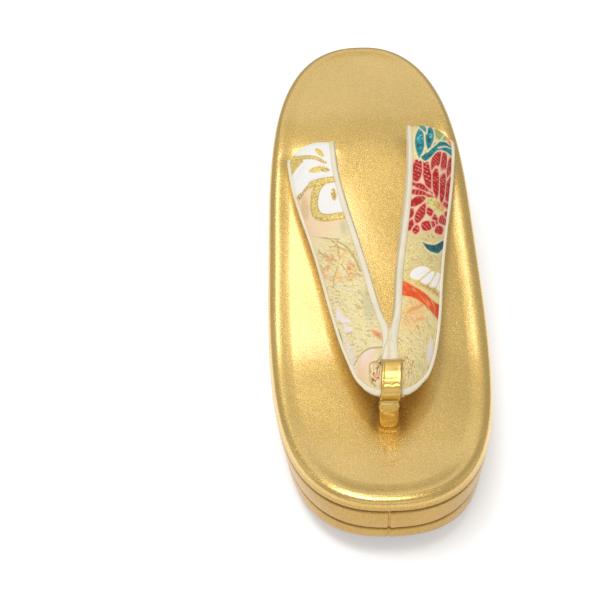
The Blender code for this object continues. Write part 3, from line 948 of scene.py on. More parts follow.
def make_cover(settings, finish):
    """The padded cover: its rolled rim as rings round the outline, its top as rungs across
    with a height worked out for every point, cut for both straps and the post."""
    rolls = [level(cover_groove, rise * MM, inset * MM)
             for inset, rise in fine_profile(COVER_PROFILE, ROLL_RINGS)]
    rim = rolls[-1]
    right = rim[1:OUTLINE_POINTS // 2]
    left = rim[:OUTLINE_POINTS // 2:-1]
    across = np.linspace(0, 1, TOP_COLUMNS + 2)[None, 1:-1, None]
    top = right[:, None] * (1 - across) + left[:, None] * across
    points = np.concatenate((*rolls, top.reshape(-1, 3)))
    over = points[:, 2] - cover_groove(points[:, 1])
    points[:, 2] += (cover_relief(points[:, 0], points[:, 1], settings.dent)
                     * soft_step(over, DETAIL_START, COVER_RISE))
    first = (ROLL_RINGS - 1) * OUTLINE_POINTS
    base = ROLL_RINGS * OUTLINE_POINTS
    rows = len(top)
    own = base + np.arange(rows * TOP_COLUMNS).reshape(rows, TOP_COLUMNS)
    ring_right = first + np.arange(1, OUTLINE_POINTS // 2)[:, None]
    ring_left = first + np.arange(OUTLINE_POINTS - 1, OUTLINE_POINTS // 2, -1)[:, None]
    whole = np.concatenate((ring_right, own, ring_left), axis=1)
    quads = np.stack((whole[:-1, :-1], whole[:-1, 1:], whole[1:, 1:], whole[1:, :-1]), -1)
    ends = [
        np.column_stack((np.full(TOP_COLUMNS + 1, pole), line[:-1], line[1:]))
        for pole, line in ((first, whole[0]), (first + OUTLINE_POINTS // 2, whole[-1]))
    ]
    under, tips = ladder_faces(0, OUTLINE_POINTS)
    faces = [grid_faces(ROLL_RINGS, OUTLINE_POINTS, around=True), quads.reshape(-1, 4),
             under, tips, *ends]
    cover = new_piece("padded_cover", points, faces, finish)
    # Marks the lower part of the rolled rim, where the finish paints shade
    lower = 1 - soft_step(points[:, 2] - cover_groove(points[:, 1]), *LOWER_ROLL)
    point_values(cover.data, "painted_roll_shade", lower)
    cutters = []
    for name, side in (("slot_left", -1), ("slot_right", 1)):
        rings = sweep(side * strap_places(SLOT_START), slot_profile, SLOT_CLEARANCE)
        step = rings[-1] - rings[-2]
        step *= SLOT_CLEARANCE / np.linalg.norm(step, axis=1).mean()
        cutters.append(tube(name, np.concatenate((rings, rings[-1:] + step))))
    hole = post_rings(POST_ROWS[:3], SLOT_CLEARANCE)
    hole[0][:, 2] -= SLOT_CLEARANCE
    cutters.append(tube("post_hole", hole))
    return cut(cover, cutters)


def layer(name, rings, finish):
    """A closed sole layer through its rings, from the bottom one to the top one."""
    faces = [grid_faces(len(rings), OUTLINE_POINTS, around=True)]
    for start in (0, (len(rings) - 1) * OUTLINE_POINTS):
        faces.extend(ladder_faces(start, OUTLINE_POINTS))
    return new_piece(name, np.concatenate(rings), faces, finish, sharp=50)


def make_tier(name, low, high, finish):
    """A covered tier: rounded edges at both grooves, a side with a slight swell, and the
    closed joint of its cover at the toe."""
    edge = fine_profile(TIER_PROFILE, 9)
    rings = [level(low, rise * MM, inset * MM) for inset, rise in edge]
    bottom, top = rings[-1], level(high, -edge[-1, 1] * MM, 0.0)
    for part in np.linspace(0, 1, SIDE_RINGS)[1:-1]:
        ring = bottom * (1 - part) + top * part
        swell = SIDE_SWELL * math.sin(math.pi * part)
        ring[:, 0] -= swell * OUTLINE[2]
        ring[:, 1] -= swell * OUTLINE[3]
        rings.append(ring)
    rings += [level(high, -rise * MM, inset * MM) for inset, rise in edge[::-1]]
    lip, lip_place, lip_width = TOE_SEAM_LIP
    for ring in rings:
        toe = ring[:, 1] < TOE_SEAM_END * LENGTH
        away = (ring[:, 0] - TOE_SEAM_X * MM) / (TOE_SEAM_WIDTH * MM)
        groove = bell(away) - lip * bell((away - lip_place) / lip_width)
        ring[:, 1] += np.where(toe, TOE_SEAM_DEPTH * MM * groove, 0.0)
    return layer(name, rings, finish)


def make_outsole(finish):
    inset = OUTSOLE_INSET - OUTSOLE_INSET_CHANGE * along_sole()
    rings = [
        level(bottom_height, 0.0, inset + OUTSOLE_EDGE),
        level(bottom_height, 0.25 * OUTSOLE_EDGE, inset + 0.3 * OUTSOLE_EDGE),
        level(bottom_height, OUTSOLE_EDGE, inset),
        level(lower_tier_bottom, -GAP, inset),
    ]
    return layer("sole_sheet", rings, finish)


def inner_roll(name, side):
    """The inner rolled edge where both straps come together: an oval from the brocade's rim
    to the middle line, carried along the rim and sunk at its ends."""
    start, end = ROLL_SPAN
    places = np.linspace(start, end, INNER_ROLL_GRID[0])
    rim, other = strap_rims(side * places)[1], strap_rims(-side * places)[1]
    middle = (rim[:, 0] + other[:, 0]) / 2
    half = np.abs(rim[:, 0] - middle) / 2 + ROLL_OVERLAP
    sunk = ROLL_SINK * (1 - soft_step(places, start, start + ROLL_FADES[0])
                        * (1 - soft_step(places, end - ROLL_FADES[1], end)))
    a, b = superellipse(1.0, 1.0, 2.0, INNER_ROLL_GRID[1])
    rings = np.empty((len(places), len(a), 3))
    rings[..., 0] = ((rim[:, 0] + middle) / 2)[:, None] + half[:, None] * a
    rings[..., 1] = rim[:, 1:2]
    rings[..., 2] = (rim[:, 2] + RIM_RISE - ROLL_DEPTH - sunk)[:, None] + ROLL_DEPTH * b
    return tube(name, rings)


def make_lining(finish):
    """Both halves of the padded lining, joined by the neck inside the toe loop and by their
    inner rolled edges behind it."""
    halves = [tube(name, sweep(side * strap_places(HALF_START), body_profile))
              for name, side in (("strap_linings", 1), ("left_half", -1))]
    neck = tube("neck", sweep(np.array([-NECK_END, NECK_END]), neck_profile, -NECK_INSET))
    rolls = [inner_roll("roll_left", -1), inner_roll("roll_right", 1)]
    lining = cut(halves[0], [halves[1], neck, *rolls], "UNION")
    cut(lining, [band_groove()])
    lining.data.materials.clear()
    lining.data.materials.append(finish)
    return lining


# Folds of the toe loop: turn in degrees from its front, slant and bow of the fold in degrees,
# how wide in degrees, height in mm, negative for a crease, and its middle and reach across
LOOP_FOLDS = np.array([
    (98.0, 0.0, -3.0, 6.0, 0.16, 0.0, 1.3), (87.0, 3.0, 3.0, 4.0, -0.08, 0.1, 0.9),
    (78.0, -2.0, 0.0, 5.0, 0.08, 0.0, 1.1), (68.0, 0.0, -26.0, 3.0, -0.11, -0.42, 0.40),
    (68.0, 0.0, -26.0, 3.0, -0.11, 0.48, 0.38), (58.0, 0.0, 8.0, 7.0, 0.07, 0.0, 1.1),
    (33.0, 10.0, 4.0, 7.0, -0.05, 0.3, 0.8), (12.0, -5.0, 5.0, 4.0, 0.13, -0.5, 0.5),
    (11.0, 5.0, 5.0, 4.0, 0.13, 0.6, 0.35), (1.0, 3.0, 3.0, 2.6, -0.24, 0.0, 1.3),
])

# Folds of the post: height over the cover, slant and bow in mm, how wide, how far it stands
# out in mm, and its middle and reach across
POST_FOLDS = np.array([
    (9.2, 0.1, -0.6, 0.42, 0.32, 0.0, 1.4), (8.4, 0.3, -0.5, 0.30, -0.24, 0.0, 1.3),
    (7.5, -1.0, -0.4, 0.38, 0.28, -0.4, 0.8), (6.7, -1.1, -0.2, 0.34, -0.18, -0.3, 0.8),
    (4.4, 0.5, 0.3, 0.80, 0.08, 0.4, 0.8), (1.2, 0.6, 0.5, 0.50, 0.20, 0.1, 1.2),
])


def fold_height(along, across, folds):
    """Sum of soft ridges and creases: each is a bell across a slanted, bowed line, and
    fades with the distance from its own middle."""
    height = np.zeros(np.broadcast(along, across).shape)
    for place, slant, bow, wide, high, middle, reach in folds:
        aside = across - middle
        line = place + slant * aside + bow * aside ** 2
        fade = np.exp(-(aside / reach) ** 4)
        height += high * MM * fade * bell((along - line) / wide)
    return height


def loop_band(spread=0.0, points=64, across_points=9, folds=None):
    """The loop of the thong as rings across its width: flat inside, rounded outside. Spread
    thickens it on every side, and folds move its outside."""
    middle, across, out, reach_a, reach_b = loop_frame()
    side = LOOP_WIDTH / 2 + spread
    wall = LOOP_WALL + spread
    turn = np.linspace(0, math.pi / 2, 5)
    inset = LOOP_EDGE * (1 - np.sin(turn))
    fall = LOOP_EDGE * (1 - np.cos(turn))
    half = np.column_stack((inset - side, wall - fall[::-1]))
    flank = [(-side, -spread / 2), *half.tolist()]
    flat = [(x, wall) for x in np.linspace(-1, 1, across_points)[1:-1] * (side - LOOP_EDGE)]
    profile = flank + flat + [(-x, grow) for x, grow in reversed(flank)]
    turn = 360.0 * np.arange(points) / points
    turn = np.where(turn > 180, turn - 360, turn)
    ridge, ridge_place, ridge_width = LOOP_RIDGE
    rings = []
    for x, grow in profile:
        if folds is not None and grow > 0:
            lift = fold_height(turn, x / side, folds) * min(1.0, 2 * grow / wall - 0.4)
            lift = lift + ridge * bell((abs(x) / side - ridge_place) / ridge_width)
            grow = grow + np.maximum(lift, LOOP_LEAST_WALL - wall)
        a, b = superellipse(reach_a + grow, reach_b + grow, LOOP_SQUARENESS, points)
        ring = middle + np.outer(a, across) + np.outer(b, out)
        ring[:, 0] += x - LOOP_SKEW * a
        rings.append(ring)
    return np.array(rings)


def tube_ring(name, rings, finish=None):
    faces = [grid_faces(len(rings), rings.shape[1], around=True, closed=True)]
    return new_piece(name, rings.reshape(-1, 3), faces, finish)


def band_groove():
    """The loop with its clearance, as it cuts what it goes round."""
    return tube_ring("band_groove", loop_band(BAND_CLEARANCE))


def make_thong(finish):
    """The folded loop and its post, whose cloth is gathered in rings at the top."""
    loop = tube_ring("thong_fold", loop_band(0.0, *LOOP_GRID, LOOP_FOLDS), finish)
    rings = post_rings(fine_profile(POST_ROWS, POST_GRID[0]), 0.0, POST_GRID[1])
    middle = rings.mean(axis=1, keepdims=True)
    spoke = rings - middle
    size = np.linalg.norm(spoke, axis=2, keepdims=True)
    height = (middle[..., 2] - cover_top(middle[..., 1])) / MM
    lift = fold_height(height, spoke[..., 0] / spoke[..., 0].max(), POST_FOLDS)
    rings += spoke / size * (lift * soft_step(-spoke[..., 1] / MM, *POST_FOLDS_FADE))[..., None]
    return cut(loop, [tube("thong_post", rings, finish)], "UNION")


def silk(red, green, blue):
    """A thread's colour as linear RGB, given as it looks on a screen from 0 to 255."""
    return (np.array((red, green, blue)) / 255.0) ** 2.2


# Silk and gold threads
CRIMSON = silk(196, 22, 40)
DEEP_CRIMSON = silk(140, 8, 24)
PETAL_EDGE = silk(255, 196, 172)
TEAL = silk(10, 136, 146)
DEEP_TEAL = silk(0, 84, 98)
TEAL_SPOT = silk(110, 204, 208)
LEAF_GREEN = silk(104, 148, 70)
VERMILION = silk(242, 92, 44)
ORANGE = silk(252, 152, 56)
GOLD_THREAD = silk(250, 204, 48)
DARK_GOLD = silk(196, 134, 24)
PALE_GOLD = silk(255, 240, 130)
WHITE_SILK = silk(255, 253, 248)
BEIGE = silk(250, 228, 164)
PALE_BEIGE = silk(255, 236, 184)
ROSE_BEIGE = silk(255, 222, 184)
CORAL = silk(238, 128, 84)
PEACH = silk(255, 194, 128)
OLIVE = silk(184, 160, 74)
GREY_GREEN = silk(206, 206, 160)
LAVENDER = silk(250, 238, 240)
CREAM_EDGE = silk(255, 244, 190)
# Painted shade in the corner of the notch where the toe loop leaves a strap
PAINTED_NOTCH_SHADE = silk(84, 52, 8)
GOLD_SHADE = silk(140, 92, 16)
STRAW = silk(186, 152, 80)

# The weave: how much of the ground is gold thread, how soft a mark's edge is in mm, and the
# size of the table of draws behind the scattered threads
GROUND_GOLD = 0.35
THREAD_EDGE = 0.35
FLECK_ROWS = 512
FLECK_COLUMNS = 64


class Weaving:
    """Colours of a brocade face over its own lengths in mm: s along it from the toe joint,
    c across it towards +X. Each mark has a cover, from 0 to 1 at each point, a colour, and
    how much of it is gold thread."""

    def __init__(self, s, c, ground):
        self.s, self.c = s, c
        self.colour = np.ones(s.shape + (1,)) * ground
        self.gold = np.full(s.shape, GROUND_GOLD)

    def lay(self, cover, colour, gold=0.0):
        self.colour += cover[..., None] * (colour - self.colour)
        self.gold += cover * (gold - self.gold)

    def within(self, away, soft=THREAD_EDGE):
        """Cover of a shape from the distance to its edge, which is negative inside."""
        return np.clip(0.5 - away / soft, 0.0, 1.0)

    def fill(self, away, colour, gold=0.0):
        self.lay(self.within(away), colour, gold)

    def edged(self, away, edge, colour):
        """A shape with a cream edge of a width."""
        self.fill(away - edge, CREAM_EDGE, 0.5)
        self.fill(away, colour)

    def dabs(self, *rows):
        """Ovals: s, c, turn, half length, half width, softness, cover, colour and gold."""
        for *oval, soft, cover, colour, gold in rows:
            self.lay(self.within(self.oval(*oval), soft) * cover, colour, gold)

    def strokes(self, *rows):
        """Lines: their points (s, c), half width, cover, colour and gold."""
        for points, width, cover, colour, gold in rows:
            self.lay(self.within(self.line(*points) - width) * cover, colour, gold)

    def threads(self, where, *rows):
        """Scattered threads on part of the face: seed, cell along and across, share of the
        cells, slant, cover, colour and gold."""
        for *cells, cover, colour, gold in rows:
            self.lay(where * self.flecks(*cells) * cover, colour, gold)

    def turned(self, s, c, turn):
        """Lengths along and across an axis through a point, turned from the strap's length
        towards +X."""
        return turn_lengths(self.s - s, self.c - c, turn)

    def oval(self, s, c, turn, long, wide):
        """Distance to the edge of an oval about a point."""
        along, across = self.turned(s, c, turn)
        return (np.hypot(along / long, across / wide) - 1) * min(long, wide)

    def leaf(self, s, c, turn, long, wide):
        """Distance to the edge of a leaf with two pointed ends: a parabola on each side."""
        along, across = self.turned(s, c, turn)
        return 0.8 * (np.abs(across) - wide * (1 - (along / long) ** 2))

    def flower(self, table, gap, spread, power=2.0):
        """Petals that touch each other: distance to the nearest petal's edge, negative
        inside, the same without the gaps, and the length along its petal. Each is an oval
        by the sum of both lengths to a power, which below 2 points its ends."""
        parts = [self.turned(s, c, turn) for s, c, turn, _, _ in table]
        ovals = np.array([
            (np.abs(a / row[3]) ** power + np.abs(b / row[4]) ** power) ** (1 / power)
            for (a, b), row in zip(parts, table)
        ])
        along = np.array([a for a, _ in parts])
        nearest = ovals.argmin(axis=0)
        first = np.take_along_axis(ovals, nearest[None], axis=0)[0]
        second = np.partition(ovals, 1, axis=0)[1]
        wide = np.array([row[4] for row in table])[nearest]
        away = np.maximum((first - spread) * wide, gap - (second - first) * wide / 2)
        return away, (first - spread) * wide, np.take_along_axis(along, nearest[None], axis=0)[0]

    def line(self, *corners):
        """Distance to the smooth line through a few points (s, c)."""
        rows = np.array(corners, dtype=float)
        fine = fine_profile(rows, 8 * len(rows)) if len(rows) > 2 else rows
        near = np.full(self.s.shape, np.inf)
        for (start_s, start_c), (end_s, end_c) in zip(fine[:-1], fine[1:]):
            run_s, run_c = end_s - start_s, end_c - start_c
            part = (self.s - start_s) * run_s + (self.c - start_c) * run_c
            part = np.clip(part / max(run_s ** 2 + run_c ** 2, 1e-9), 0.0, 1.0)
            near = np.minimum(near, np.hypot(self.s - start_s - part * run_s,
                                             self.c - start_c - part * run_c))
        return near

    def between(self, low, high):
        """Distance to a region between two smooth edges, each given by points (c, s)."""
        edges = []
        for rows in (low, high):
            rows = np.array(rows, dtype=float)
            edges.append(smooth_table(rows[:, 0], rows[:, 1], self.c))
        ends = np.maximum(low[0][0] - self.c, self.c - low[-1][0])
        return np.maximum(np.maximum(edges[0] - self.s, self.s - edges[1]) * 0.8, ends)

    def hatch(self, turn, pitch, share):
        """Parallel threads: 1 on them and 0 between."""
        angle = math.radians(turn)
        place = (self.s * math.sin(angle) + self.c * math.cos(angle)) / pitch
        wave = 0.5 + 0.5 * np.cos(2 * math.pi * place)
        return np.clip((wave - (1 - share)) / 0.35, 0.0, 1.0)

    def flecks(self, seed, size_s, size_c, share, slant):
        """Scattered short threads: 1 on a share of the cells of a grid, softly edged, with
        the grid slanted from the strap's width."""
        table = np.random.default_rng(seed).random((FLECK_ROWS, FLECK_COLUMNS))
        row = (self.s + slant * self.c + 20) / size_s
        column = (self.c + 12) / size_c
        low_r, low_c = np.floor(row).astype(int), np.floor(column).astype(int)
        part_r, part_c = soft_step(row - low_r, 0.0, 1.0), soft_step(column - low_c, 0.0, 1.0)
        near, far = (
            table[here, low_c % FLECK_COLUMNS] * (1 - part_c)
            + table[here, (low_c + 1) % FLECK_COLUMNS] * part_c
            for here in (low_r % FLECK_ROWS, (low_r + 1) % FLECK_ROWS)
        )
        value = near * (1 - part_r) + far * part_r
        return np.clip((value - (1 - share)) / 0.18, 0.0, 1.0)

    def speckle(self, where, seed):
        """The figured ground: short slanted straw, pale gold, dark gold and white threads."""
        self.threads(where,
                     (seed, 0.6, 1.2, 0.36, 0.9, 0.55, STRAW, 0.4),
                     (seed + 1, 0.6, 1.1, 0.42, -0.5, 0.75, PALE_GOLD, 0.9),
                     (seed + 2, 0.5, 0.9, 0.24, 0.9, 0.60, DARK_GOLD, 0.6),
                     (seed + 3, 0.5, 0.8, 0.22, 0.0, 0.70, WHITE_SILK, 0.0))

    def gilded(self, away, outline, inner, seed, share):
        """A thick gold border: a darker outline, bright thread, and pale and dark flecks."""
        self.fill(away - outline, DARK_GOLD, 0.7)
        self.fill(away + inner, GOLD_THREAD, 0.95)
        self.threads(self.within(away + 0.4), (seed, 0.55, 0.6, 0.5, 0.0, 1.0, PALE_GOLD, 1.0))
        self.threads(self.within(away + 0.2),
                     (seed + 1, 0.5, 0.7, share, 0.6, 0.8, GOLD_SHADE, 0.6))


# Petals of the crimson flower: s, c, turn, half length, half width
RED_PETALS = np.array([
    (104.9, -7.4, 3.0, 5.4, 1.5), (103.2, -3.4, -9.0, 7.0, 1.4), (112.6, 0.4, 16.0, 5.4, 1.5),
    (113.4, 4.4, 6.0, 6.2, 1.3), (113.6, 8.0, 10.0, 5.6, 1.2), (101.2, 0.6, -4.0, 7.4, 1.4),
    (101.8, 4.3, 0.0, 8.0, 1.4), (101.8, 8.0, 4.0, 6.4, 1.4), (96.4, -5.4, 112.0, 4.8, 1.1),
    (93.0, -5.2, 98.0, 5.0, 1.2), (89.0, -6.3, 38.0, 4.6, 1.4), (82.4, -4.6, 13.0, 4.5, 1.3),
    (84.4, -0.6, -32.0, 1.9, 1.4), (82.3, 1.9, -30.0, 2.3, 1.3), (84.6, 6.6, 42.0, 3.0, 1.6),
    (76.9, -1.5, 18.0, 2.2, 1.7), (78.1, 4.8, 38.0, 2.5, 1.5), (76.0, -7.6, 4.0, 2.3, 1.2),
    (74.1, -5.5, -4.0, 2.0, 1.1), (93.4, 7.8, 62.0, 2.2, 1.3), (82.0, -8.4, 4.0, 2.8, 1.0),
    (79.3, 1.4, 10.0, 1.6, 1.0), (88.2, 7.9, 16.0, 1.8, 0.9),
])

# Teal leaves of the rear of the right strap: s, c, turn, half length, half width
TEAL_LEAVES = np.array([
    (120.4, -6.6, 2.0, 9.6, 1.9), (124.6, -2.4, 7.0, 8.6, 1.8), (131.0, -5.2, -14.0, 5.0, 1.2),
    (139.8, -4.2, 4.0, 6.2, 1.9), (140.2, 0.6, 12.0, 6.0, 1.8), (141.8, 5.8, -40.0, 6.4, 1.8),
])

# Lobes of the white blossom above the band: s, c, turn, half length, half width
WHITE_LOBES = np.array([
    (52.6, -1.4, 48.0, 4.1, 2.3), (52.0, 2.2, 40.0, 4.2, 2.0), (52.8, 5.2, 28.0, 4.4, 1.7),
    (53.6, 8.2, 18.0, 4.2, 1.4),
])


def weave_band(face):
    """The vermilion band of the right strap, darker towards its outer side, and the white
    blossom in gold above it."""
    face.dabs((47.2, 3.0, 92, 5.2, 1.5, 0.8, 0.8, DARK_GOLD, 0.8))
    away, edge, _ = face.flower(WHITE_LOBES, 0.16, 1.22)
    face.fill(edge - 0.3, GOLD_THREAD, 0.8)
    face.fill(away, WHITE_SILK)
    face.threads(face.within(away + 0.5), (5, 0.7, 0.6, 0.2, 0.0, 0.5, PALE_BEIGE, 0.0))
    face.strokes((((49.6, -9.0), (47.6, -5.0), (46.1, 0.0), (45.6, 7.0)),
                  0.5, 0.9, GOLD_THREAD, 0.9))
    band = face.between(((-9.5, 40.8), (-7.7, 40.3), (-2.9, 39.5), (1.3, 37.9), (7.1, 36.8),
                         (9.5, 37.0)),
                        ((-9.5, 48.4), (-7.7, 47.4), (-5.0, 45.8), (0.0, 43.6), (4.6, 42.2),
                         (9.5, 43.4)))
    face.fill(band - 0.3, ORANGE, 0.6)
    face.fill(band, VERMILION)
    face.lay(face.within(band) * soft_step(face.c, 3.0, 9.0) * 0.45, DEEP_CRIMSON)
    face.threads(face.within(band),
                 (18, 0.7, 1.6, 0.34, 0.8, 0.45, PEACH, 0.2),
                 (19, 0.7, 1.6, 0.30, 0.8, 0.40, CRIMSON, 0.0))


def weave_flower(face):
    """The crimson flower: petals with a pale edge and pale cross threads round a gold
    heart."""
    s, c = face.s, face.c
    away, edge, along = face.flower(RED_PETALS, 0.24, 1.34, 1.5)
    face.fill(edge - 0.55, PETAL_EDGE)
    face.fill(away, CRIMSON)
    light = 0.5 + 0.5 * np.sin(0.9 * s + 1.3 * c)
    face.lay(face.within(away) * light * 0.35, DEEP_CRIMSON)
    veins = np.clip((np.cos(2 * math.pi * (along + 0.45 * c) / 1.9) - 0.82) / 0.15, 0, 1)
    face.threads(face.within(away + 0.2) * veins, (16, 1.2, 1.6, 0.75, 0.0, 0.75, PETAL_EDGE, 0.0))
    face.threads(face.within(away + 0.2),
                 (8, 0.5, 1.0, 0.2, 0.5, 0.3, PETAL_EDGE, 0.0),
                 (17, 0.5, 1.0, 0.3, 0.5, 0.5, DEEP_CRIMSON, 0.0))
    heart = face.within(face.oval(89.6, 1.6, 95, 4.9, 2.9), 0.7)
    face.lay(heart, PALE_GOLD, 0.8)
    face.dabs((90.2, 4.0, 80, 2.5, 2.0, 0.8, 0.85, ORANGE, 0.6))
    face.threads(heart,
                 (9, 0.7, 0.8, 0.35, 0.0, 1.0, DARK_GOLD, 0.8),
                 (10, 0.6, 0.7, 0.25, 0.0, 1.0, LEAF_GREEN, 0.3))


def weave_leaves(face):
    """The rear of the right strap: teal leaves and a spray on pale gold, with a green leaf
    and a vermilion corner."""
    front = np.interp(face.c, (-9, -5, 0, 5, 9), (110.6, 109.6, 117.0, 120.4, 121.0))
    rear = soft_step(face.s - front, -0.2, 0.3)
    face.lay(rear, BEIGE, 0.4)
    face.threads(rear, (11, 0.7, 0.9, 0.4, 0.5, 0.8, PALE_GOLD, 0.9))
    green = face.within(face.oval(129.6, 3.2, 20, 5.4, 3.2), 1.0)
    face.lay(green, LEAF_GREEN, 0.3)
    face.lay(green * face.hatch(55.0, 1.5, 0.35), PALE_GOLD, 0.7)
    face.dabs((131.4, 8.6, 2, 6.6, 2.0, 0.6, 1.0, ORANGE, 0.5),
              (130.6, 9.4, 2, 6.0, 1.0, 0.5, 1.0, VERMILION, 0.2))
    spray = face.between(((-7.0, 112.2), (-4.8, 110.0), (-2.0, 113.2), (0.4, 117.2),
                          (4.6, 119.9), (9.6, 120.8)),
                         ((-7.0, 112.6), (-4.8, 115.2), (-2.0, 119.6), (0.4, 122.0),
                          (4.6, 125.2), (9.6, 127.2)))
    face.edged(spray, 0.55, TEAL)
    for row in TEAL_LEAVES:
        away = face.leaf(*row)
        face.edged(away, 0.5, TEAL)
        face.threads(face.within(away + 0.5), (12, 0.9, 0.8, 0.35, 0.0, 1.0, TEAL_SPOT, 0.0))
        face.threads(face.within(away + 0.4), (13, 0.9, 0.8, 0.3, 0.0, 1.0, DEEP_TEAL, 0.0))
    face.threads(face.within(spray + 0.4),
                 (14, 0.8, 1.0, 0.32, -0.7, 1.0, DEEP_TEAL, 0.0),
                 (15, 0.7, 0.8, 0.18, -0.7, 1.0, TEAL_SPOT, 0.0))
    face.strokes(
        (((112.4, -6.4), (119.5, -0.8), (125.5, 3.0), (131.0, 5.2)), 0.28, 1.0, CREAM_EDGE, 0.4),
        (((119.4, 1.2), (122.6, 5.0), (125.4, 9.2)), 0.28, 1.0, CREAM_EDGE, 0.4))


def weave_right(face):
    """The right strap, from the toe to the rear: speckled gold ground, a vermilion band,
    a white blossom, a hatched ground, a crimson flower and teal leaves."""
    face.dabs((31.5, -3.4, 10, 9.0, 5.0, 3.0, 0.75, PEACH, 0.0),
              (30.5, 4.5, 10, 8.0, 4.0, 3.0, 0.60, BEIGE, 0.0))
    face.speckle(1.0 - soft_step(face.s, 36, 44), 20)
    face.dabs((33.0, -4.4, 35, 3.4, 0.6, 0.35, 0.70, ORANGE, 0.4),
              (36.2, -1.4, 35, 3.0, 0.5, 0.35, 0.70, CORAL, 0.3),
              (30.2, -1.2, 40, 2.8, 0.5, 0.35, 0.60, ORANGE, 0.4),
              (21.8, 6.2, -4, 5.0, 1.7, 1.2, 0.85, LAVENDER, 0.0),
              (12.4, 3.6, 50, 2.4, 0.9, 0.9, 0.60, GREY_GREEN, 0.0),
              # Painted shade in the notch corner beside the toe loop
              (6.0, -4.3, 30, 1.6, 0.7, 0.6, 0.90, PAINTED_NOTCH_SHADE, 0.0))
    face.threads(face.within(face.oval(8.6, -0.8, 12, 4.2, 3.2), 1.6),
                 (21, 0.6, 0.6, 0.35, 0.0, 0.6, CORAL, 0.3),
                 (22, 0.5, 0.6, 0.32, 0.0, 0.8, GOLD_SHADE, 0.4))
    middle = soft_step(face.s, 45, 48) * (1 - soft_step(face.s, 76, 79))
    face.lay(middle * 0.35, OLIVE, 0.3)
    face.lay(middle * face.hatch(24.0, 0.95, 0.45) * 0.6, PALE_BEIGE, 0.3)
    face.threads(middle,
                 (3, 0.6, 1.0, 0.32, 0.9, 0.60, DARK_GOLD, 0.6),
                 (4, 0.6, 1.0, 0.35, -0.6, 0.75, PALE_GOLD, 0.9))
    weave_band(face)
    leaf = face.between(((-2.4, 68.0), (-0.6, 65.8), (1.4, 64.9), (3.6, 65.3), (5.6, 66.5),
                         (7.4, 69.6), (9.0, 72.6)),
                        ((-2.4, 68.2), (-0.6, 67.9), (1.4, 68.3), (3.6, 69.6), (5.6, 72.0),
                         (7.4, 74.4), (9.0, 75.6)))
    face.edged(leaf, 0.5, DEEP_TEAL)
    face.threads(face.within(leaf + 0.3), (6, 0.8, 0.9, 0.3, 0.0, 1.0, TEAL, 0.0))
    face.threads(face.within(leaf + 0.6), (7, 0.6, 0.7, 0.14, 0.0, 1.0, TEAL_SPOT, 0.0))
    face.dabs((63.0, -8.6, 0, 2.2, 0.6, 0.35, 1.0, DEEP_TEAL, 0.0),
              (56.0, 9.0, 0, 3.0, 0.5, 0.35, 1.0, DEEP_TEAL, 0.0))
    weave_flower(face)
    weave_leaves(face)


def weave_coral(face):
    """The coral flower of the left strap: ragged petals and fine stems."""
    for *oval, cover, colour in (
        (63.6, -2.6, -40, 4.2, 1.5, 0.7, CORAL), (60.3, -5.8, 80, 3.0, 1.1, 0.8, CORAL),
        (56.6, -5.8, -40, 2.6, 1.0, 0.6, CORAL), (53.4, -1.0, -6, 2.8, 1.5, 1.0, PEACH),
        (54.6, 4.4, 6, 3.9, 1.8, 0.8, CORAL), (62.6, 3.6, 40, 3.4, 1.2, 0.8, PEACH),
        (66.2, 1.6, 10, 2.8, 1.3, 0.7, PEACH), (51.4, 1.8, 0, 1.6, 0.8, 0.5, CORAL),
    ):
        petal = face.within(face.oval(*oval), 0.9) * cover
        face.lay(petal * (0.35 + 0.65 * face.flecks(46, 0.7, 0.6, 0.6, 0.4)), colour)
        face.threads(petal, (47, 0.5, 0.5, 0.35, 0.0, 1.0, PALE_GOLD, 0.8))
    face.strokes(
        (((70.0, 2.6), (66.0, 5.2), (60.0, 6.8), (53.0, 7.2)), 0.42, 0.75, OLIVE, 0.6),
        (((68.6, -1.0), (67.4, 2.0), (64.0, 4.6)), 0.28, 0.75, OLIVE, 0.6),
        (((71.0, -6.5), (66.5, -4.6), (62.0, -1.0), (59.6, 0.8)), 0.22, 0.75, OLIVE, 0.6),
        (((72.0, 0.4), (68.0, 2.0), (60.5, 1.4)), 0.22, 0.75, DARK_GOLD, 0.6),
        (((50.5, -4.6), (54.0, -2.9), (59.0, 0.4)), 0.22, 0.75, DARK_GOLD, 0.6),
        (((49.4, 3.4), (54.0, 2.4), (59.0, 1.2)), 0.22, 0.75, DARK_GOLD, 0.6),
        (((81.6, -8.8), (77.0, -5.0), (73.4, -1.0), (70.6, 3.4)), 0.34, 0.75, OLIVE, 0.6))
    face.dabs((59.6, 0.8, 50, 1.6, 1.0, 0.35, 1.0, PALE_GOLD, 0.8))


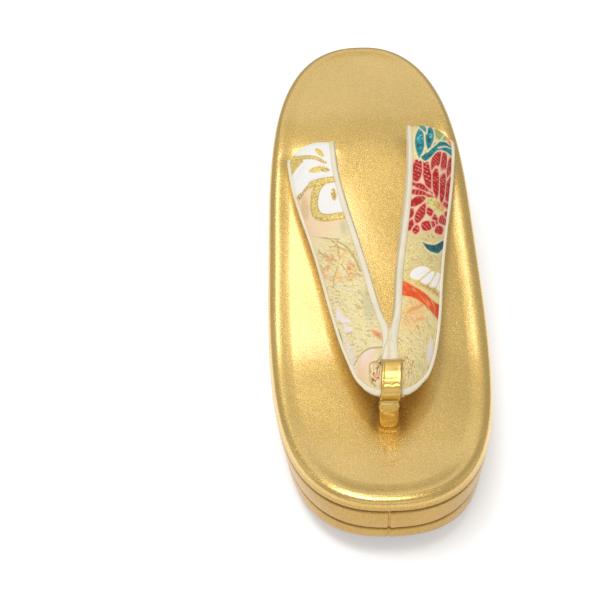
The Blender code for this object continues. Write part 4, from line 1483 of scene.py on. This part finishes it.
def weave_white(face):
    """The rear of the left strap: white shapes with a thick gold border, gold ovals, a
    hatched gold corner and a gold arc."""
    s, c = face.s, face.c
    face.lay(soft_step(s, 100.8, 101.4), WHITE_SILK)
    border = face.line((101.0, -5.4), (102.2, -0.8), (101.9, 4.0), (101.4, 9.0))
    stroke = face.line((101.6, 4.0), (98.0, 0.9), (94.0, -0.9), (89.6, -2.1), (86.2, -1.4),
                       (83.8, 0.8), (82.6, 4.0), (82.2, 9.0))
    face.fill(face.between(((0.2, 86.6), (2.4, 84.8), (5.0, 84.0), (9.5, 83.8)),
                           ((0.2, 92.0), (2.4, 97.2), (5.0, 99.2), (9.5, 99.8))), WHITE_SILK)
    thick = np.minimum(stroke - 1.55, border - np.where(c > -1.5, 1.2, 0.5))
    face.gilded(thick, 0.25, 0.1, 49, 0.26)
    for *oval, colour in (
        (100.6, -7.4, 92, 2.6, 1.3, DARK_GOLD), (93.8, 7.3, 8, 3.0, 0.9, DARK_GOLD),
        (108.3, 3.8, 104, 3.9, 1.5, GOLD_THREAD), (107.0, 6.6, 116, 1.6, 1.0, DARK_GOLD),
        (117.0, 5.2, -26, 3.0, 1.0, GOLD_THREAD), (132.8, 5.4, 60, 2.2, 1.0, GOLD_THREAD),
    ):
        mark = face.within(face.oval(*oval))
        face.lay(mark, colour, 0.9)
        face.threads(mark, (51, 0.5, 0.6, 0.4, 0.0, 1.0, PALE_GOLD, 1.0))
    corner = np.maximum(s - 120.6 + 0.7 * (c + 6.0), 114.0 - s + 0.25 * (c + 9))
    corner = face.within(np.maximum(corner, c + 2.5), 0.8)
    face.lay(corner, GOLD_THREAD, 0.8)
    face.lay(corner * face.hatch(-30, 1.0, 0.40) * 0.7, GOLD_SHADE, 0.6)
    face.threads(corner, (54, 0.5, 0.6, 0.4, 0.0, 1.0, PALE_GOLD, 1.0))
    arc = face.line((136.8, 3.6), (135.4, -3.2), (130.0, -7.4), (123.4, -7.6), (119.6, -4.6),
                    (116.9, -0.6), (114.6, 3.3), (110.8, 7.0))
    face.gilded(arc - np.interp(c, (-8, 2, 8), (1.05, 0.85, 0.45)), 0.0, 0.3, 52, 0.24)
    pale = soft_step(s, 102, 104)
    for *oval, soft, cover in ((111.6, -4.5, 60, 4.6, 1.4, 1.6, 0.5),
                               (104.4, 2.0, 96, 5.0, 0.6, 0.8, 0.6)):
        face.lay(pale * face.within(face.oval(*oval), soft) * cover, LAVENDER)


def weave_left(face):
    """The left strap, from the toe to the rear: pale petals outlined in gold, a speckled
    ground, a coral flower, and white shapes bordered by thick gold."""
    s = face.s
    face.speckle(soft_step(s, 14, 18) * (1 - soft_step(s, 68, 76)), 40)
    face.dabs((35, 6.4, 4, 9.0, 1.8, 1.4, 0.6, GREY_GREEN, 0.0),
              (21.5, -6.6, 0, 7.0, 1.7, 1.4, 0.6, LAVENDER, 0.0),
              (31.0, -8.0, 4, 2.6, 0.5, 0.35, 0.8, LEAF_GREEN, 0.0),
              (12.6, -1.4, 84, 7.0, 3.4, 0.35, 1.0, ROSE_BEIGE, 0.0),
              (13.0, -2.0, 80, 4.0, 1.8, 1.5, 0.3, PEACH, 0.0),
              (13.6, 0.6, 84, 4.6, 1.6, 1.5, 0.5, LAVENDER, 0.0))
    face.strokes(
        (((17.0, -6.6), (16.6, -2.0), (15.2, 2.0), (11.2, 8.0)), 0.36, 0.85, OLIVE, 0.5),
        (((5.0, -4.4), (7.4, -3.0), (10.0, -0.2), (8.4, 2.4), (5.0, 4.6)), 0.30, 0.85, OLIVE, 0.5),
        (((9.6, 1.0), (8.0, 4.0), (8.6, 7.0)), 0.30, 0.85, OLIVE, 0.5))
    face.threads(face.within(face.oval(6.6, -0.6, 0, 2.4, 3.6), 0.8),
                 (44, 0.6, 0.7, 0.5, 0.0, 0.7, CORAL, 0.3),
                 (45, 0.6, 0.7, 0.4, 0.0, 1.0, GOLD_SHADE, 0.4))
    face.dabs((19.0, 6.6, -24, 3.4, 0.9, 0.9, 0.8, CORAL, 0.0),
              # Painted shade in the notch corner beside the toe loop
              (5.4, 4.5, -30, 1.2, 0.6, 0.6, 0.8, PAINTED_NOTCH_SHADE, 0.0),
              (36.2, -4.9, -10, 3.6, 0.9, 0.5, 0.9, LAVENDER, 0.0),
              (34.0, -3.4, -38, 3.2, 0.7, 0.5, 0.9, LAVENDER, 0.0),
              (30.2, -3.6, -50, 3.0, 0.9, 0.5, 0.9, LAVENDER, 0.0),
              (38.6, -6.2, 14, 2.4, 0.6, 0.5, 0.9, LAVENDER, 0.0))
    weave_coral(face)
    rose = soft_step(s, 73, 78) * (1 - soft_step(s, 99.5, 101.5))
    face.lay(rose * 0.85, ROSE_BEIGE)
    face.threads(rose, (48, 0.7, 1.4, 0.3, 0.9, 0.35, PALE_GOLD, 0.6))
    hatched = rose * face.within(face.oval(93.5, -6.4, 6, 5.4, 2.2), 1.4)
    face.lay(hatched * face.hatch(-40, 0.9, 0.4), DARK_GOLD, 0.5)
    face.dabs((76.0, 6.6, 8, 3.6, 1.2, 1.2, 0.7, GREY_GREEN, 0.0))
    weave_white(face)


def make_brocade(name, side, weave, ground, finish):
    """One brocade face: its crowned section carried along the strap, with its pattern laid
    on every point, and its lengths in metres as the UV map."""
    places = side * np.linspace(PANEL_START, LAST_ROW, PANEL_ROWS)
    rings = sweep(places, panel_profile)
    fine = np.linspace(0.0, LAST_ROW, LENGTH_STEPS)
    line = strap_frame(side * fine)[0]
    run = running_sum(np.linalg.norm(np.diff(line, axis=0), axis=1))
    along = np.interp(np.abs(places), fine, run)[:, None]
    _, _, out, sizes = strap_frame(places)
    across = panel_profile(*(sizes[:, i:i + 1] for i in range(5)), 0.0)[0] * side
    along = np.broadcast_to(along, across.shape)
    gather = GATHER_DEPTH * np.sin(along / GATHER_LENGTH) * soft_step(
        np.abs(across) / sizes[:, :1], GATHER_START, 1.0)
    rings[:, :PANEL_COLUMNS] += gather[:, :PANEL_COLUMNS, None] * out[:, None]
    face = Weaving(along / MM, across / MM, ground)
    weave(face)
    piece = tube(name, rings, finish)
    mesh = piece.data
    colours = np.ones((len(mesh.vertices), 4), np.float32)
    colours[:, :3] = np.clip(face.colour, 0, 1).reshape(-1, 3)
    mesh.color_attributes.new("silk", "FLOAT_COLOR", "POINT").data.foreach_set(
        "color", colours.ravel())
    point_values(mesh, "gold_thread", face.gold)
    corners = np.empty(len(mesh.loops), np.int32)
    mesh.loops.foreach_get("vertex_index", corners)
    lengths = np.column_stack((across.reshape(-1), along.reshape(-1))).astype(np.float32)
    mesh.uv_layers.new(name="lengths").data.foreach_set("uv", lengths[corners].ravel())
    return cut(piece, [band_groove()])


def look_at(location, target, roll=0.0):
    """A camera or light matrix that looks from one point to another, with +Z up before its
    roll."""
    back = (location - target).normalized()
    turn = back.to_track_quat("Z", "Y").to_matrix()
    return Matrix.Translation(location) @ turn.to_4x4() @ Matrix.Rotation(roll, 4, "Z")


def add_lamp(name, location, target, size, size_y, power):
    lamp = bpy.data.lights.new(name, "AREA")
    lamp.shape = "RECTANGLE"
    lamp.size, lamp.size_y = size, size_y
    lamp.energy = power
    made = bpy.data.objects.new(name, lamp)
    made.matrix_world = look_at(Vector(location), Vector(target))
    bpy.context.scene.collection.objects.link(made)
    return made


# Softboxes: name, place, target, width, depth, power, in metres and watts
SOFTBOXES = [
    ("softbox_over", (-0.09, 0.30, 0.80), (0.0, 0.0, 0.03), 0.22, 0.17, 0.39),
    ("softbox_back", (0.0, 0.97, 0.99), (0.0, 0.0, 0.03), 1.00, 0.30, 0.52),
    ("softbox_front", (-0.14, -0.13, 0.82), (0.0, 0.0, 0.03), 0.52, 0.30, 3.2),
    ("softbox_low", (0.0, -1.20, 0.55), (0.0, 0.0, 0.03), 1.60, 0.50, 1.2),
    ("softbox_left", (-0.80, 0.05, 0.45), (0.0, 0.0, 0.03), 0.50, 0.50, 0.2),
    ("softbox_right", (0.80, -0.05, 0.45), (0.0, 0.0, 0.03), 0.50, 0.50, 0.2),
]
WORLD_STRENGTH = 0.42
FLOOR_GLOW = 0.36
FLOOR_REACH = 3.0


def make_stage(settings):
    """Pale floor, softboxes, an even pale world and the camera at the photograph's angle."""
    corners = [(-1, -1, 0), (1, -1, 0), (1, 1, 0), (-1, 1, 0)]
    floor = new_piece("floor", FLOOR_REACH * np.array(corners), [np.array([(0, 1, 2, 3)])],
                      None, recalculate=False)
    paper = Finish("pale_paper", Base_Color=(0.93, 0.93, 0.93), Roughness=0.9,
                   Emission_Color=(1.0, 1.0, 1.0), Emission_Strength=FLOOR_GLOW)
    floor.data.materials.append(paper.material)
    for softbox in SOFTBOXES:
        add_lamp(*softbox)
    world = bpy.data.worlds.new("studio")
    world.use_nodes = True
    world.node_tree.nodes["Background"].inputs["Color"].default_value = (1.0, 1.0, 1.0, 1.0)
    world.node_tree.nodes["Background"].inputs["Strength"].default_value = WORLD_STRENGTH
    bpy.context.scene.world = world
    bpy.context.scene.view_settings.view_transform = "Standard"
    target = Vector(settings.target)
    azimuth, elevation = settings.azimuth, settings.elevation
    back = Vector((math.sin(azimuth) * math.cos(elevation),
                   -math.cos(azimuth) * math.cos(elevation), math.sin(elevation)))
    lens = bpy.data.cameras.new("camera")
    lens.sensor_width = 36.0
    lens.lens = settings.lens
    lens.clip_start = 0.01
    lens.clip_end = 20.0
    camera = bpy.data.objects.new("camera", lens)
    camera.matrix_world = look_at(target + back * settings.distance, target, settings.roll)
    bpy.context.scene.collection.objects.link(camera)
    bpy.context.scene.camera = camera


class ZORI_OT_stage(bpy.types.Operator):
    """Adds the floor, the lights and the camera"""
    bl_idname = "zori.stage"
    bl_label = "Stage"

    def execute(self, context):
        make_stage(context.scene.zori_stage)
        return {"FINISHED"}


class ZORI_OT_cover(bpy.types.Operator):
    """Adds the padded cover of the footbed"""
    bl_idname = "zori.cover"
    bl_label = "Padded cover"

    def execute(self, context):
        settings = context.scene.zori_cover
        gold = gold_cover_finish("pearl_gold_cover", settings.gold, settings.grain)
        cover = settle(make_cover(settings, gold), "gold_vinyl", "top_cover")
        return {"FINISHED"}


class ZORI_OT_tiers(bpy.types.Operator):
    """Adds both covered tiers of the wedge and the sole sheet under them"""
    bl_idname = "zori.tiers"
    bl_label = "Tiers and sole sheet"

    def execute(self, context):
        settings = context.scene.zori_cover
        # The tiers get a darker copy of the cover's gold as painted shade on their sides
        shade = tinted(settings.gold, PAINTED_SHADE_GOLD)
        gold = gold_cover_finish("pearl_gold_tier", shade, settings.grain, 0.6, 0.15, 0.34)
        settle(make_tier("wedge_upper", tier_groove, cover_groove, gold),
               "gold_vinyl", "upper_tier")
        settle(make_tier("wedge_lower", lower_tier_bottom, tier_groove, gold),
               "gold_vinyl", "lower_tier")
        brown = brown_sole_finish("brown_sole", context.scene.zori_sole.brown)
        settle(make_outsole(brown), "brown_outsole", "outsole")
        return {"FINISHED"}


class ZORI_OT_linings(bpy.types.Operator):
    """Adds the padded linings of both straps"""
    bl_idname = "zori.linings"
    bl_label = "Strap linings"

    def execute(self, context):
        cream = cream_lining_finish("cream_lining", context.scene.zori_straps.cream)
        lining = settle(make_lining(cream), "cream_lining", "straps")
        return {"FINISHED"}


class ZORI_OT_brocades(bpy.types.Operator):
    """Adds the brocade faces of both straps"""
    bl_idname = "zori.brocades"
    bl_label = "Brocade faces"

    def execute(self, context):
        woven = brocade_finish("silk_brocade", context.scene.zori_straps.thread)
        for name, side, weave, ground, node in (
            ("brocade_face_left", -1, weave_left, PALE_BEIGE, "brocade_left"),
            ("brocade_face_right", 1, weave_right, BEIGE, "brocade_right"),
        ):
            settle(make_brocade(name, side, weave, ground, woven), "brocade", node)
        return {"FINISHED"}


class ZORI_OT_thong(bpy.types.Operator):
    """Adds the folded toe loop and its post"""
    bl_idname = "zori.thong"
    bl_label = "Toe thong"

    def execute(self, context):
        settings = context.scene.zori_cover
        gold = gold_cover_finish("gold_thong_cloth", settings.gold, settings.grain, 0.3, 0.3, 0.34)
        settle(make_thong(gold), "gold_vinyl", "toe_thong")
        return {"FINISHED"}


PIECES = (ZORI_OT_cover, ZORI_OT_tiers, ZORI_OT_linings, ZORI_OT_brocades, ZORI_OT_thong)


class ZORI_PT_panel(bpy.types.Panel):
    bl_idname = "ZORI_PT_panel"
    bl_label = "Zori sandal"
    bl_space_type = "VIEW_3D"
    bl_region_type = "UI"
    bl_category = "Zori"

    def draw(self, context):
        for operator in (ZORI_OT_stage, *PIECES):
            self.layout.operator(operator.bl_idname)


SETTINGS = {
    "zori_stage": StageSettings,
    "zori_cover": CoverSettings,
    "zori_straps": StrapSettings,
    "zori_sole": SoleSettings,
}


def register():
    for kind in (*SETTINGS.values(), ZORI_OT_stage, *PIECES, ZORI_PT_panel):
        bpy.utils.register_class(kind)
    for name, kind in SETTINGS.items():
        setattr(bpy.types.Scene, name, bpy.props.PointerProperty(type=kind))


def unregister():
    for name in SETTINGS:
        delattr(bpy.types.Scene, name)
    for kind in reversed((*SETTINGS.values(), ZORI_OT_stage, *PIECES, ZORI_PT_panel)):
        bpy.utils.unregister_class(kind)


def main():
    for old in [o for o in bpy.data.objects if o.name in ("Cube", "Camera", "Light")]:
        bpy.data.objects.remove(old, do_unlink=True)
    register()
    bpy.ops.zori.stage()
    bpy.ops.zori.cover()
    bpy.ops.zori.tiers()
    bpy.ops.zori.linings()
    bpy.ops.zori.brocades()
    bpy.ops.zori.thong()


if __name__ == "__main__":
    main()
